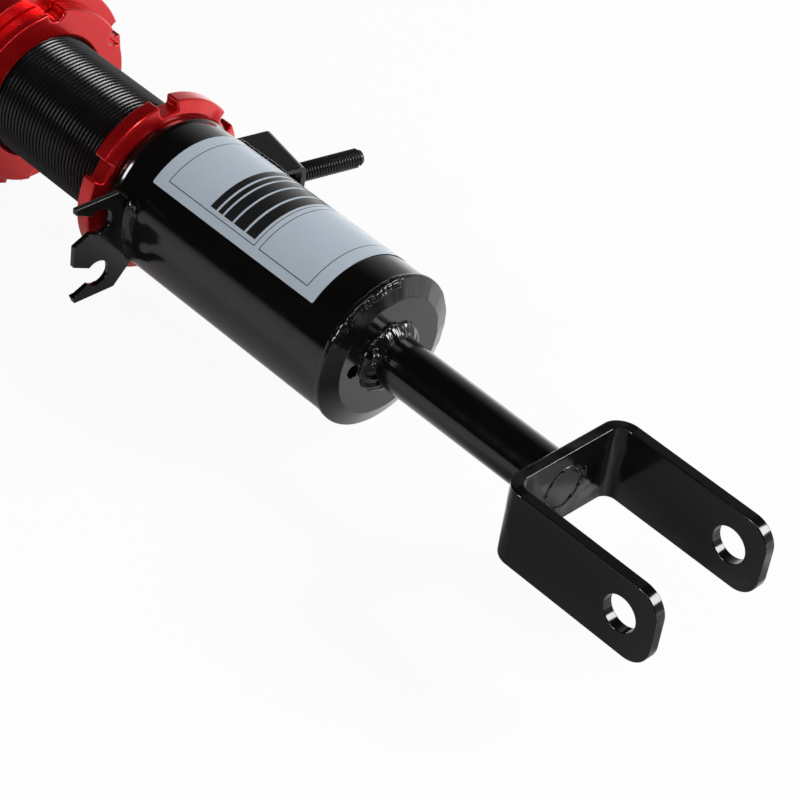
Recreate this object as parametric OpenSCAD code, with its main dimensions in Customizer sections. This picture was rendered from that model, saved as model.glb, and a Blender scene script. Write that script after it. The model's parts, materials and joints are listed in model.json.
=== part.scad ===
// Threaded coilover strut with a forked lower end, one module for each separate piece.
// The strut lies along X. The origin is the centre of the fork's bolt hole, with the bolt along Y,
// and the top mount lies towards -X. A height s is the distance up the strut from the fork bolt.

/* [Fork] */
// Diameter of the bolt hole through both ears
bolt_d = 14.4; // [12:0.1:16]
// Inside width between the ears
fork_gap = 51; // [46:0.5:58]
// Thickness of the fork's bent plate
fork_sheet = 4.75; // [4:0.25:6]
// Height of the plate across its edges
fork_height = 32; // [28:0.1:36]
// Bolt centre to the inner face of the web
fork_reach = 54.4; // [48:0.1:70]
// Bolt centre to the ends of the ears
fork_nose = 15.1; // [13:0.1:20]
// Corner radius at the ends of the ears
nose_round = 10; // [5:0.5:12]
// Inside radius of the two bends
fork_bend = 4.5; // [1:0.5:5]
// Corner radius of the plate at the web
web_round = 1; // [0.5:0.5:8]

/* [Stem and end cap] */
// Diameter of the solid stem
stem_d = 20.8; // [19:0.1:24]
// Stem between the web and the end cap
stem_length = 83.75; // [60:0.25:120]
// Diameter of the stem's end that passes through the web
stem_tenon_d = 18.4; // [14:0.1:18.6]
// Depth of the stem's end in the cap
stem_seat = 8.1; // [6:0.1:10]
// Diameter of the cap's flat face
cap_face_d = 49.6; // [46:0.1:54]
// Depth of the cap's bevel
cap_bevel = 3; // [1:0.1:4]
// Width of the cap's rim behind the bevel
cap_rim = 1.3; // [1:0.1:4]
// How far the cap's rim stands out past the housing
cap_overhang = 0.5; // [0.2:0.1:1.5]
// Depth of the cap's spigot in the housing
cap_spigot = 9.8; // [6:0.1:14]
// Diameter of the drain hole
drain_d = 5.4; // [3:0.1:7]
// Drain hole centre from the axis
drain_offset = 18; // [16.5:0.1:19.5]
// Direction of the drain hole round the axis
drain_angle = 176.8; // [150:0.2:210]

/* [Housing] */
// Outside diameter of the housing
housing_d = 62; // [60:0.5:68]
// Length of the housing at its full diameter
housing_length = 117.2; // [100:0.1:160]
// Diameter of the neck under the lock ring
neck_d = 60; // [58:0.5:60]
// Length of the neck with its bevel
neck_length = 5.2; // [3:0.1:10]
// Depth of the threaded part of the bore
housing_thread = 80; // [60:1:90]

/* [Label] */
// Length of the label along the strut
label_length = 89.3; // [60:0.1:100]
// Height of the label's lower edge above the housing's foot
label_start = 15.5; // [8:0.1:25]
// Direction of the label's first edge
label_from = 38; // [38:1:60]
// Angle that the label covers
label_angle = 98.4; // [60:0.2:110]
// Thickness of the label
label_sheet = 0.14; // [0.1:0.02:0.4]

/* [Hose bracket] */
// Thickness of the hose bracket
hose_sheet = 2.3; // [1.5:0.1:4]
// Distance of the bracket's lower face below the housing's neck
hose_below = 7.4; // [5:0.1:40]
// Height of the bracket's plate across its arms
hose_width = 44.2; // [42:0.1:50]
// Distance of the arms' ends from the axis
hose_reach = 54.5; // [52:0.1:60]
// Middle line of the bracket below the axis
hose_drop = 3.7; // [0:0.1:8]
// Diameter of the two hose slots
slot_d = 11; // [8:0.1:12]
// Distance of the slots from the axis
slot_reach = 42.8; // [41:0.1:44]
// Distance of each slot from the bracket's middle line
slot_offset = 12.1; // [11:0.1:13]
// Width of the slots' throats
throat_w = 7.7; // [5:0.1:7.8]
// Width of the slots' mouths
mouth_w = 14.9; // [10:0.1:15]

/* [Stud bracket] */
// Thickness of the stud bracket
stud_sheet = 2.3; // [1.5:0.1:3]
// Length of the stud bracket
stud_bracket_length = 26.8; // [20:0.1:32]
// Width across its two flanges
stud_bracket_width = 27.4; // [24:0.1:32]
// Angle between the bracket and the strut's axis
stud_bracket_yaw = -11.3; // [-16:0.1:0]
// Distance of the stud below the housing's neck
stud_below = 19; // [17:0.1:50]
// Distance of the web's outer face from the axis at the stud
stud_stand = 40.9; // [39:0.1:46]
// How far the stud lies above the axis
stud_rise = 2.7; // [0:0.1:5]
// Diameter of the stud
stud_d = 8; // [6:0.5:10]
// Length of the stud outside the web
stud_length = 34.2; // [20:0.1:40]

/* [Thread and damper tube] */
// Outside diameter of the tube's thread
thread_d = 51.72; // [51:0.02:54]
// Pitch of the thread
thread_pitch = 2; // [1.5:0.5:3]
// Depth of the thread
thread_depth = 1.2; // [0.8:0.05:1.3]
// Length of the damper tube
tube_length = 247; // [225:1:260]
// Length of the tube inside the housing
tube_engaged = 91.6; // [70:0.1:95]
// Bore of the damper tube
tube_bore_d = 44; // [42:0.1:45]
// Length of the base plug
plug_length = 18; // [14:0.5:24]
// Height of the floating piston above the base plug
gas_room = 30; // [15:1:45]
// Length of the floating piston
floating_length = 12; // [10:0.5:16]

/* [Lock rings] */
// Outside diameter of the lower lock ring
ring_d = 74.6; // [72:0.1:78]
// Thickness of the lower lock ring
ring_t = 8.15; // [6:0.05:12]
// Number of wrench notches in each ring
notches = 6; // [4:1:8]
// Width of the lower ring's notches
ring_notch_w = 8.6; // [6:0.1:9]
// Depth of the lower ring's notches
ring_notch_depth = 4.3; // [3:0.1:4.6]
// Height of the upper lock ring above the housing
perch_stand = 73.9; // [50:0.1:90]
// Outside diameter of the upper lock ring
collar_d = 76.8; // [74:0.1:80]
// Thickness of the upper lock ring
collar_t = 8.1; // [6:0.1:12]
// Width of the upper ring's round notches
collar_notch_w = 8; // [6:0.1:8.4]
// Depth of the upper ring's round notches
collar_notch_depth = 4.2; // [4.2:0.1:5]

/* [Spring perch and spring] */
// Outside diameter of the perch
perch_d = 88.7; // [88:0.1:94]
// Thickness of the perch's flange
perch_t = 10.3; // [8:0.1:14]
// Length of the spigots inside the spring
spigot_length = 8; // [5:0.5:9]
// Thickness of the two spring washers
washer_t = 2; // [1:0.1:3]
// Diameter of the spring wire
wire_d = 12; // [11:0.1:12.4]
// Mean diameter of the spring
coil_d = 77; // [76.5:0.1:78]
// Number of turns of the spring
coil_turns = 6; // [5:1:7]
// Length of the spring
spring_length = 170; // [165:1:200]
// Step between the closed end turns and the next, beyond the wire
end_gap = 0.6; // [0.5:0.1:1.5]

/* [Upper seat and boot] */
// Outside diameter of the upper seat
seat_d = 92; // [90:0.5:100]
// Thickness of the upper seat's flange
seat_t = 5; // [4:0.1:8]
// Length of the bump stop
bump_length = 27; // [15:0.5:27]
// Outside diameter of the bump stop
bump_d = 38; // [30:0.5:38]
// Outside diameter of the boot's ribs
boot_d = 52; // [50:0.5:54]
// Depth of the boot's ribs
boot_rib = 4.4; // [3:0.1:4.5]
// Number of the boot's ribs
boot_ribs = 9; // [6:1:10]
// Wall of the boot
boot_wall = 1.3; // [1:0.1:1.5]
// Length of the boot's straight cuff
cuff_length = 23; // [18:0.5:24]

/* [Rod and piston] */
// Diameter of the piston rod
rod_d = 14; // [13:0.1:15]
// Diameter of the rod's two threaded ends
rod_thread_d = 12; // [11.5:0.1:12.2]
// Room between the piston and the rod guide at rest
rebound_room = 9; // [6:0.1:30]
// Thickness of the piston
piston_t = 12; // [10:0.5:16]
// Thickness of each stack of shims
shims_t = 2.4; // [1.2:0.1:3]
// Width of the piston's band
band_w = 6; // [4:0.5:8]
// Thickness of the piston's nut
piston_nut_t = 9; // [7:0.5:11]
// Diameter of the metering needle
needle_d = 5; // [4:0.1:5.4]

/* [Gland] */
// Length of the rod guide
guide_t = 8; // [6:0.5:9]
// Length of the gland cap inside the tube
gland_t = 14; // [12:0.5:16]
// Thickness of the gland cap's flange
gland_flange_t = 3; // [2:0.5:4]

/* [Top mount] */
// Diameter of the pillow ball
ball_d = 26; // [25:0.1:27]
// Width of the pillow ball
ball_w = 13; // [12.4:0.1:14]
// Length of the spacer under the ball
spacer_t = 15; // [13:0.1:20]
// Width of the ball's race
race_w = 10.3; // [9.8:0.1:11]
// Thickness of the top plate
plate_t = 8; // [8:0.5:12]
// Diameter of the circle through the three studs
stud_circle_d = 94; // [84:1:110]
// Radius of the plate's three corners
lobe_r = 13; // [10:0.5:16]
// Diameter of the top studs
top_stud_d = 10; // [8:0.5:12]
// Length of the top studs above the plate
top_stud_length = 25; // [18:0.5:35]
// Thickness of the top nut
top_nut_t = 10; // [8:0.5:12]
// Diameter of the adjuster knob
knob_d = 13; // [10:0.5:16]
// Height of the adjuster knob
knob_t = 9.6; // [6:0.1:14]

/* [Hidden] */
$fn = 96;

// Clearances
seat_gap = 0.05;      // between flat faces that turn on each other
thread_gap = 0.08;    // radial, between the tube's thread and the rings on it
slide_gap = 0.05;     // radial, between sliding parts
fit_gap = 0.02;       // radial, between parts that are pressed or screwed together
loose_gap = 0.4;      // radial, between the spring and the spigots inside it
label_gap = 0.16;     // radial, the glue between the label and the housing
cut = 1;              // how far a cutting shape runs past a face

// Radii
thread_r = thread_d / 2;
root_r = thread_r - thread_depth;
nut_bore_r = thread_r + thread_gap;
housing_r = housing_d / 2;
stem_r = stem_d / 2;
tenon_r = stem_tenon_d / 2;
cap_rim_r = housing_r + cap_overhang;
housing_relief_r = nut_bore_r + 2;
tube_bore_r = tube_bore_d / 2;
gland_r = tube_bore_r + 1;
rod_r = rod_d / 2;
rod_end_r = rod_thread_d / 2;
needle_r = needle_d / 2;
needle_bore_r = needle_r + slide_gap;

// Heights up the strut
web_in_s = fork_reach;
web_out_s = web_in_s + fork_sheet;
cap_s = web_out_s + stem_length;
cap_rim_s = cap_s + cap_bevel;
foot_s = cap_rim_s + cap_rim;
cap_top_s = foot_s + cap_spigot;
neck_s = foot_s + housing_length;
housing_top_s = neck_s + neck_length;
ring_s = housing_top_s + seat_gap;
ring_top_s = ring_s + ring_t;
tube_s = housing_top_s - tube_engaged;
tube_top_s = tube_s + tube_length;
plug_top_s = tube_s + plug_length;
floating_s = plug_top_s + gas_room;
collar_s = housing_top_s + perch_stand;
collar_top_s = collar_s + collar_t;
perch_s = collar_top_s + seat_gap;
perch_top_s = perch_s + perch_t;
washer_s = perch_top_s + seat_gap;
spring_s = washer_s + washer_t + seat_gap;
spring_top_s = spring_s + spring_length;
upper_washer_s = spring_top_s + seat_gap;
seat_s = upper_washer_s + washer_t;
seat_top_s = seat_s + seat_t;
guide_s = tube_top_s - gland_t - guide_t;
gland_s = tube_top_s - gland_t;
gland_top_s = tube_top_s + gland_flange_t;
shoulder_s = guide_s - rebound_room;
piston_s = shoulder_s - shims_t - piston_t;
piston_nut_s = piston_s - shims_t - piston_nut_t;
rod_s = piston_nut_s - 2;
ball_s = seat_top_s + spacer_t + ball_w / 2;
ball_top_s = ball_s + ball_w / 2;
spacer_r = 9;
upper_spacer_t = 5;
top_nut_s = ball_top_s + upper_spacer_t;
rod_top_s = top_nut_s + top_nut_t + 6;
knob_s = rod_top_s + loose_gap;

// Places along the stack that the housing carries
hose_s = neck_s - hose_below;
stud_s = neck_s - stud_below;
label_s = foot_s + label_start;

// Round pieces are drawn as an outline of [radius, height] points and turned about the strut.
module turned(outline) rotate([0, -90, 0]) rotate_extrude() polygon(outline);

// Children start at a height and run up the strut along their own Z.
module up_from(s) translate([-s, 0, 0]) rotate([0, -90, 0]) children();

module bar(s, t, r) up_from(s) cylinder(h = t, r = r);

module collar_of(s, t, r, bore) turned([[bore, s], [r, s], [r, s + t], [bore, s + t]]);

// Children lie on +Y and are repeated round the strut, the first at the given direction.
module around(count, first) for (i = [0 : count - 1]) rotate([first + i * 360 / count, 0, 0]) children();

// A straight notch with a flat floor, cut from a rim that lies on +Y.
module square_notch(s, t, floor_r, width)
  translate([-s - t - cut, floor_r, -width / 2]) cube([t + 2 * cut, floor_r, width]);

// A notch with a round floor, cut from a rim that lies on +Y.
module round_notch(s, t, floor_r, width) {
  square_notch(s, t, floor_r + width / 2, width);
  translate([0, floor_r + width / 2, 0]) bar(s - cut, t + 2 * cut, width / 2);
}

// A strip from x = 0 to its length whose two corners at x = 0 are round.
module round_strip(length, half, r) {
  translate([r, -half]) square([length - r, 2 * half]);
  translate([0, r - half]) square([length, 2 * (half - r)]);
  for (side = [-1, 1]) translate([r, side * (half - r)]) circle(r);
}

module sphere_slice(r, width, s) intersection() {
  translate([-s, 0, 0]) sphere(r);
  bar(s - width / 2, width, r);
}

module hex(s, t, across) up_from(s) cylinder(h = t, d = across / cos(30), $fn = 6);

// Fork: one plate bent into a U round the bolt, open towards +X
module fork_plan() difference() {
  translate([-web_out_s, 0])
    round_strip(web_out_s + fork_nose, fork_gap / 2 + fork_sheet, fork_bend + fork_sheet);
  translate([-web_in_s, 0]) round_strip(web_in_s + fork_nose + cut, fork_gap / 2, fork_bend);
}

module fork_side() intersection() {
  translate([-web_out_s, 0]) round_strip(web_out_s + fork_nose, fork_height / 2, web_round);
  translate([fork_nose, 0]) mirror([1, 0]) round_strip(web_out_s + fork_nose, fork_height / 2, nose_round);
}

module fork() color("#161616") difference() {
  intersection() {
    linear_extrude(fork_height, center = true) fork_plan();
    rotate([90, 0, 0]) linear_extrude(fork_gap + 4 * fork_sheet, center = true) fork_side();
  }
  rotate([90, 0, 0]) cylinder(h = fork_gap + 4 * fork_sheet, d = bolt_d, center = true);
  bar(web_in_s - cut, fork_sheet + 2 * cut, tenon_r + fit_gap);
}

plug_weld_w = 1.2;
plug_weld_t = 0.6;

module plug_weld() color("#1c1c1c")
  turned([
    [tenon_r - plug_weld_w, web_in_s], [tenon_r - plug_weld_w / 2, web_in_s - plug_weld_t],
    [tenon_r + plug_weld_w / 2, web_in_s - plug_weld_t], [tenon_r + plug_weld_w, web_in_s],
  ]);

fork_bead = 2.4;

module stem_fork_weld() color("#1c1c1c")
  turned([
    [stem_r, web_out_s], [stem_r + fork_bead, web_out_s],
    [stem_r + fork_bead * 0.4, web_out_s + fork_bead * 0.6], [stem_r, web_out_s + fork_bead],
  ]);

module fork_stem() color("#161616")
  turned([
    [0, web_in_s], [tenon_r, web_in_s], [tenon_r, web_out_s], [stem_r, web_out_s],
    [stem_r, cap_s], [tenon_r, cap_s], [tenon_r, cap_s + stem_seat], [0, cap_s + stem_seat],
  ]);

// End cap: bevelled disc with a spigot that closes the foot of the housing
cap_floor = stem_seat + 1.6;
cap_spigot_wall = 6;
cap_seat_r = tenon_r + fit_gap;
spigot_r = housing_relief_r - slide_gap;
drain_bevel = 0.5;

module end_cap() color("#161616") difference() {
  turned([
    [0, cap_s], [cap_face_d / 2, cap_s], [cap_rim_r, cap_rim_s], [cap_rim_r, foot_s],
    [spigot_r, foot_s], [spigot_r, cap_top_s], [spigot_r - cap_spigot_wall, cap_top_s],
    [spigot_r - cap_spigot_wall, cap_s + cap_floor], [0, cap_s + cap_floor],
  ]);
  bar(cap_s - cut, stem_seat + cut, cap_seat_r);
  rotate([drain_angle, 0, 0]) translate([0, drain_offset, 0]) {
    bar(cap_s - cut, cap_floor + 2 * cut, drain_d / 2);
    up_from(cap_s) cylinder(h = drain_bevel, r1 = drain_d / 2 + drain_bevel, r2 = drain_d / 2);
  }
}

cap_bead = 4.2;

module stem_cap_weld() color("#1c1c1c")
  turned([
    [stem_r, cap_s], [stem_r, cap_s - cap_bead], [stem_r + cap_bead * 0.4, cap_s - cap_bead * 0.75],
    [stem_r + cap_bead, cap_s],
  ]);

// Housing: thick tube, threaded above and relieved below, with a narrower neck
neck_bevel = 1.8;
edge = 0.5;

module lower_housing() color("#161616")
  turned([
    [housing_relief_r, foot_s], [housing_r, foot_s], [housing_r, neck_s],
    [neck_d / 2, neck_s + neck_bevel], [neck_d / 2, housing_top_s - edge],
    [neck_d / 2 - edge, housing_top_s], [nut_bore_r + edge, housing_top_s],
    [nut_bore_r, housing_top_s - edge], [nut_bore_r, housing_top_s - housing_thread],
    [housing_relief_r, housing_top_s - housing_thread - 2],
  ]);

rim_bead_t = 0.35;
rim_bead_w = 1.8;

module cap_housing_weld() color("#1c1c1c")
  turned([
    [housing_r, foot_s], [cap_rim_r, foot_s], [cap_rim_r, cap_rim_s + 0.2],
    [cap_rim_r + rim_bead_t, cap_rim_s + 0.5], [cap_rim_r + rim_bead_t, foot_s],
    [housing_r, foot_s + rim_bead_w],
  ]);

// Label: a plain sheet wrapped round the housing
module label() color("#b9c6d2")
  rotate([label_from, 0, 0]) rotate([0, -90, 0]) rotate([0, 0, 90 - label_angle])
    rotate_extrude(angle = label_angle)
      translate([housing_r + label_gap, label_s]) square([label_sheet, label_length]);

// Hose bracket: flat plate across the strut with two open slots
hose_shoulder = 34.3;
hose_root = 13;
hose_root_y = 26;
tip_bevel = [1.3, 3.4];

module hose_slot() {
  chord = sqrt(pow(slot_d / 2, 2) - pow(throat_w / 2, 2));
  throat_y = slot_reach + chord;
  mouth_y = hose_reach + cut;
  mouth_half = throat_w / 2 + (mouth_w - throat_w) / 2 * (mouth_y - throat_y) / (hose_reach - throat_y);
  translate([-slot_reach, slot_offset]) circle(d = slot_d);
  translate([0, slot_offset])
    polygon([
      [-slot_reach, throat_w / 2], [-throat_y, throat_w / 2], [-mouth_y, mouth_half],
      [-mouth_y, -mouth_half], [-throat_y, -throat_w / 2], [-slot_reach, -throat_w / 2],
    ]);
}

module hose_outline() {
  half = hose_width / 2;
  difference() {
    polygon([
      [-hose_reach, half], [-hose_shoulder, half], [-hose_root_y, hose_root],
      [-hose_root_y, -hose_root], [-hose_shoulder, -half],
      [-hose_reach + tip_bevel.x, -half], [-hose_reach, -half + tip_bevel.y],
    ]);
    for (side = [0, 1]) mirror([0, side]) hose_slot();
  }
}

module hose_bracket() color("#161616") difference() {
  translate([-hose_s - hose_sheet, 0, -hose_drop])
    rotate([90, 0, 90]) linear_extrude(hose_sheet) hose_outline();
  bar(hose_s - cut, hose_sheet + 2 * cut, housing_r);
}

hose_bead = [3, 6.5];
hose_bead_from = 157;
hose_bead_angle = 48;

module hose_bracket_weld() color("#1c1c1c")
  rotate([hose_bead_from, 0, 0]) rotate([0, -90, 0]) rotate([0, 0, 90 - hose_bead_angle])
    rotate_extrude(angle = hose_bead_angle)
      translate([housing_r, hose_s])
        polygon([[0, 0], [0, -hose_bead.y], [hose_bead.x * 0.7, -hose_bead.y * 0.5], [hose_bead.x, 0]]);

// Stud bracket: bent channel on the far side, with a stud welded through its web
stud_bend = 0.8;

// The bracket's own X runs along its length, Y points out of the housing and Z is up.
module at_stud() translate([-stud_s, stud_stand, stud_rise]) rotate([0, 0, stud_bracket_yaw]) children();

module channel_outline() difference() {
  mirror([1, 0]) round_strip(stud_stand, stud_bracket_width / 2, stud_bend + stud_sheet);
  translate([-stud_sheet, 0]) mirror([1, 0])
    round_strip(stud_stand, stud_bracket_width / 2 - stud_sheet, stud_bend);
}

module stud_bracket() color("#161616") difference() {
  at_stud() translate([-stud_bracket_length / 2, 0, 0])
    rotate([90, 0, 90]) linear_extrude(stud_bracket_length) channel_outline();
  bar(foot_s, housing_length + neck_length + cut, housing_r);
  at_stud() rotate([90, 0, 0])
    cylinder(h = 4 * stud_sheet, r = stud_d / 2 + stud_neck + fit_gap, center = true);
}

stud_bead_r = 2;

module stud_bracket_welds() color("#1c1c1c") difference() {
  for (side = [-1, 1]) {
    edge_z = stud_rise + side * stud_bracket_width / 2;
    edge_y = sqrt(pow(housing_r, 2) - pow(edge_z, 2));
    translate([-stud_s - stud_bracket_length / 2, edge_y, edge_z])
      rotate([0, 90, 0]) cylinder(h = stud_bracket_length, r = stud_bead_r);
  }
  bar(foot_s, housing_length + neck_length + cut, housing_r);
  at_stud() translate([-stud_bracket_length, -stud_stand, -stud_bracket_width / 2])
    cube([2 * stud_bracket_length, stud_stand, stud_bracket_width]);
}

stud_head = [13, 3];
stud_bevel = 1;
stud_neck = 0.4;

module bracket_stud() color("#232323") at_stud() rotate([-90, 0, 0]) rotate_extrude()
  polygon([
    [0, -stud_sheet - stud_head.y], [stud_head.x / 2, -stud_sheet - stud_head.y],
    [stud_head.x / 2, -stud_sheet], [stud_d / 2 + stud_neck, -stud_sheet],
    [stud_d / 2 + stud_neck, 0], [stud_d / 2, 0], [stud_d / 2, stud_length - stud_bevel],
    [stud_d / 2 - stud_bevel, stud_length], [0, stud_length],
  ]);

// Lower lock ring: seats on the housing's neck and locks the tube in it
ring_seat_r = 31.9;
ring_cone = 1.5;

module lower_lock_ring() color("#b3161b") difference() {
  turned([
    [nut_bore_r, ring_s], [ring_seat_r, ring_s], [ring_d / 2 - edge / 2, ring_s + ring_cone],
    [ring_d / 2, ring_s + ring_cone + edge], [ring_d / 2, ring_top_s - edge],
    [ring_d / 2 - edge, ring_top_s], [nut_bore_r, ring_top_s],
  ]);
  around(notches, 30.2) square_notch(ring_s, ring_t, ring_d / 2 - ring_notch_depth, ring_notch_w);
}

// Damper tube: threaded over its whole length, bored for the piston and wider for the gland
ridge_count = floor((tube_length - 2 * thread_pitch) / thread_pitch);
ridge_start = tube_s + (tube_length - ridge_count * thread_pitch) / 2;

module damper_tube() color("#1a1a1a")
  turned(concat(
    [[tube_bore_r, tube_s], [root_r, tube_s], [root_r, ridge_start]],
    [
      for (i = [0 : ridge_count - 1], half = [1, 2])
        [half == 1 ? thread_r : root_r, ridge_start + (i + half / 2) * thread_pitch]
    ],
    [[root_r, tube_top_s], [gland_r, tube_top_s], [gland_r, guide_s], [tube_bore_r, guide_s]]
  ));

valve_r = 4;
valve_pocket = [7, 9];

module base_plug() color("#8d9196") difference() {
  bar(tube_s, plug_length, tube_bore_r - fit_gap);
  bar(tube_s - cut, valve_pocket.y + cut, valve_pocket.x);
  bar(tube_s, plug_length - 3, valve_r);
  bar(tube_s, plug_length + cut, 1);
}

module gas_valve() color("#b08d45")
  turned([
    [0, tube_s + 2], [valve_r - 1, tube_s + 2], [valve_r - 1, tube_s + 7],
    [valve_pocket.x - 1.5, tube_s + 7], [valve_pocket.x - 1.5, tube_s + valve_pocket.y],
    [valve_r - fit_gap, tube_s + valve_pocket.y], [valve_r - fit_gap, plug_top_s - 3.5],
    [0, plug_top_s - 3.5],
  ]);

floating_ring_w = 3;
ring_groove = 1.8;

module floating_piston() color("#a9adb1") {
  middle = floating_s + floating_length / 2;
  groove_r = tube_bore_r - ring_groove;
  side_r = tube_bore_r - 2 * slide_gap;
  turned([
    [0, floating_s + 5], [8, floating_s + 3], [8, floating_s], [side_r, floating_s],
    [side_r, middle - floating_ring_w / 2], [groove_r, middle - floating_ring_w / 2],
    [groove_r, middle + floating_ring_w / 2], [side_r, middle + floating_ring_w / 2],
    [side_r, floating_s + floating_length], [0, floating_s + floating_length],
  ]);
}

module floating_piston_seal() color("#111111")
  collar_of(
    floating_s + floating_length / 2 - floating_ring_w / 2, floating_ring_w,
    tube_bore_r - slide_gap, tube_bore_r - ring_groove
  );

// Gland: guide, seal, cap and wiper that close the tube round the rod
bush_t = 1;
seal_r = 14;
seal_t = 6;
wiper_r = 12;
wiper_t = 5;
rod_hole_r = rod_r + slide_gap;
bush_r = rod_hole_r + bush_t;

module rod_guide() color("#a9adb1") collar_of(guide_s, guide_t, gland_r - fit_gap, bush_r);

module guide_bush() color("#a8763e") collar_of(guide_s, guide_t, bush_r, rod_hole_r);

module rod_seal() color("#3a2a22") collar_of(gland_s, seal_t, seal_r, rod_hole_r);

module gland_cap() color("#8d9196")
  turned([
    [seal_r, gland_s], [gland_r - fit_gap, gland_s], [gland_r - fit_gap, tube_top_s],
    [root_r, tube_top_s], [root_r, gland_top_s - edge], [root_r - edge, gland_top_s],
    [wiper_r, gland_top_s], [wiper_r, gland_top_s - wiper_t], [rod_r + 0.5, gland_top_s - wiper_t],
    [rod_r + 0.5, gland_s + seal_t], [seal_r, gland_s + seal_t],
  ]);

module rod_wiper() color("#16181a")
  turned([
    [rod_hole_r, gland_top_s - wiper_t], [wiper_r, gland_top_s - wiper_t], [wiper_r, gland_top_s],
    [rod_hole_r + 1.2, gland_top_s + 1.6], [rod_hole_r, gland_top_s + 1.6],
  ]);

// Upper lock ring and spring perch
collar_bevel = 0.8;
bore_flare = 1.4;
perch_bevel = 1.3;
perch_notch = [7, 3.9];

module perch_lock_ring() color("#b3161b") difference() {
  turned([
    [nut_bore_r + bore_flare, collar_s], [collar_d / 2 - collar_bevel, collar_s],
    [collar_d / 2, collar_s + collar_bevel], [collar_d / 2, collar_top_s - collar_bevel],
    [collar_d / 2 - collar_bevel, collar_top_s], [nut_bore_r, collar_top_s],
    [nut_bore_r, collar_s + bore_flare],
  ]);
  around(notches, 25) round_notch(collar_s, collar_t, collar_d / 2 - collar_notch_depth, collar_notch_w);
}

// The spring's ring stations lie a little outside its mean radius, because the sides between them
// pass inside it. Its wire has a flat above and below.
rings_per_turn = 8;
wire_sides = 6;
station_r = coil_d / 2 * 2 / (1 + cos(180 / rings_per_turn));
coil_clear_r = station_r * cos(180 / rings_per_turn) - wire_d / 2;
inner_spigot_r = coil_clear_r - loose_gap;
washer_r = [inner_spigot_r + loose_gap, perch_d / 2 - 0.35];

module spring_perch() color("#b3161b") difference() {
  turned([
    [nut_bore_r, perch_s], [perch_d / 2 - perch_bevel, perch_s], [perch_d / 2, perch_s + perch_bevel],
    [perch_d / 2, perch_top_s - edge], [perch_d / 2 - edge, perch_top_s],
    [inner_spigot_r, perch_top_s], [inner_spigot_r, perch_top_s + spigot_length - edge],
    [inner_spigot_r - edge, perch_top_s + spigot_length], [nut_bore_r, perch_top_s + spigot_length],
  ]);
  around(notches, 17.5) round_notch(perch_s, perch_t, perch_d / 2 - perch_notch.y, perch_notch.x);
}

module lower_spring_washer() color("#3b3d40") collar_of(washer_s, washer_t, washer_r.y, washer_r.x);

module upper_spring_washer() color("#3b3d40") collar_of(upper_washer_s, washer_t, washer_r.y, washer_r.x);

// Coil spring: one unbroken tube whose end turns are closed and ground flat
end_pitch = wire_d + end_gap;
end_start = wire_d / 4;
free_pitch = (spring_length - 2 * (end_start + end_pitch)) / (coil_turns - 2);
spring_rings = coil_turns * rings_per_turn;

function rise(turn) =
  turn < 1 ? end_start + end_pitch * turn
  : turn > coil_turns - 1 ? spring_length - end_start - end_pitch * (coil_turns - turn)
  : end_start + end_pitch + free_pitch * (turn - 1);

function wire_ring(turn) = [
  for (k = [0 : wire_sides - 1])
    let (
      phi = k * 360 / wire_sides,
      r = station_r + wire_d / 2 * cos(phi),
      z = rise(turn) + wire_d / 2 * sin(phi)
    )
      [r * cos(360 * turn), r * sin(360 * turn), min(spring_length, max(0, z))]
];

spring_points = [for (i = [0 : spring_rings]) wire_ring(i / rings_per_turn)];

spring_turn_gap = min([
  for (i = [0 : spring_rings - rings_per_turn], a = spring_points[i], b = spring_points[i + rings_per_turn])
    norm(a - b)
]);
echo(least_gap_between_spring_turns = spring_turn_gap);

function tube_faces(rings, sides) = concat(
  [for (k = [1 : sides - 2]) [0, k, k + 1]],
  [
    for (i = [0 : rings - 1], k = [0 : sides - 1], corner = [0, 1])
      let (a = i * sides + k, b = i * sides + (k + 1) % sides)
        corner == 0 ? [a, a + sides, b] : [b, a + sides, b + sides]
  ],
  [for (k = [1 : sides - 2]) [rings * sides, rings * sides + k + 1, rings * sides + k]]
);

module coil_spring() color("#1d1f22") up_from(spring_s)
  polyhedron([for (ring = spring_points, point = ring) point], tube_faces(spring_rings, wire_sides));

// Upper seat: flange above the spring, spigot inside it and a pocket for the boot
boot_r = boot_d / 2;
boot_pocket_r = boot_r + 1;
roof_t = 7;
roof_s = seat_top_s - roof_t;

module upper_spring_seat() color("#b3161b")
  turned([
    [rod_end_r + fit_gap, roof_s], [boot_pocket_r, roof_s], [boot_pocket_r, seat_s - spigot_length],
    [inner_spigot_r - edge, seat_s - spigot_length], [inner_spigot_r, seat_s - spigot_length + edge],
    [inner_spigot_r, seat_s], [seat_d / 2, seat_s], [seat_d / 2, seat_top_s - 1],
    [seat_d / 2 - 1, seat_top_s], [rod_end_r + fit_gap, seat_top_s],
  ]);

module bump_stop() color("#c9a24a") {
  base_s = roof_s - bump_length;
  side = bump_d / 2;
  turned([
    [rod_r + 0.2, base_s], [side * 0.72, base_s], [side * 0.84, base_s + bump_length * 0.2],
    [side * 0.7, base_s + bump_length * 0.32], [side, base_s + bump_length * 0.5],
    [side * 0.8, base_s + bump_length * 0.7], [side, base_s + bump_length * 0.85],
    [side, roof_s], [rod_r + 0.2, roof_s],
  ]);
}

// Dust boot: ribbed sleeve from the seat's pocket down over the top of the tube
cuff_lap = 12;
cuff_r = thread_r + 0.45;
cuff_s = tube_top_s - cuff_lap;
boot_lip = 3;
rib_start_s = cuff_s + cuff_length;
rib_top_s = roof_s - boot_lip - seat_gap;
rib_pitch = (rib_top_s - rib_start_s) / boot_ribs;

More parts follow.
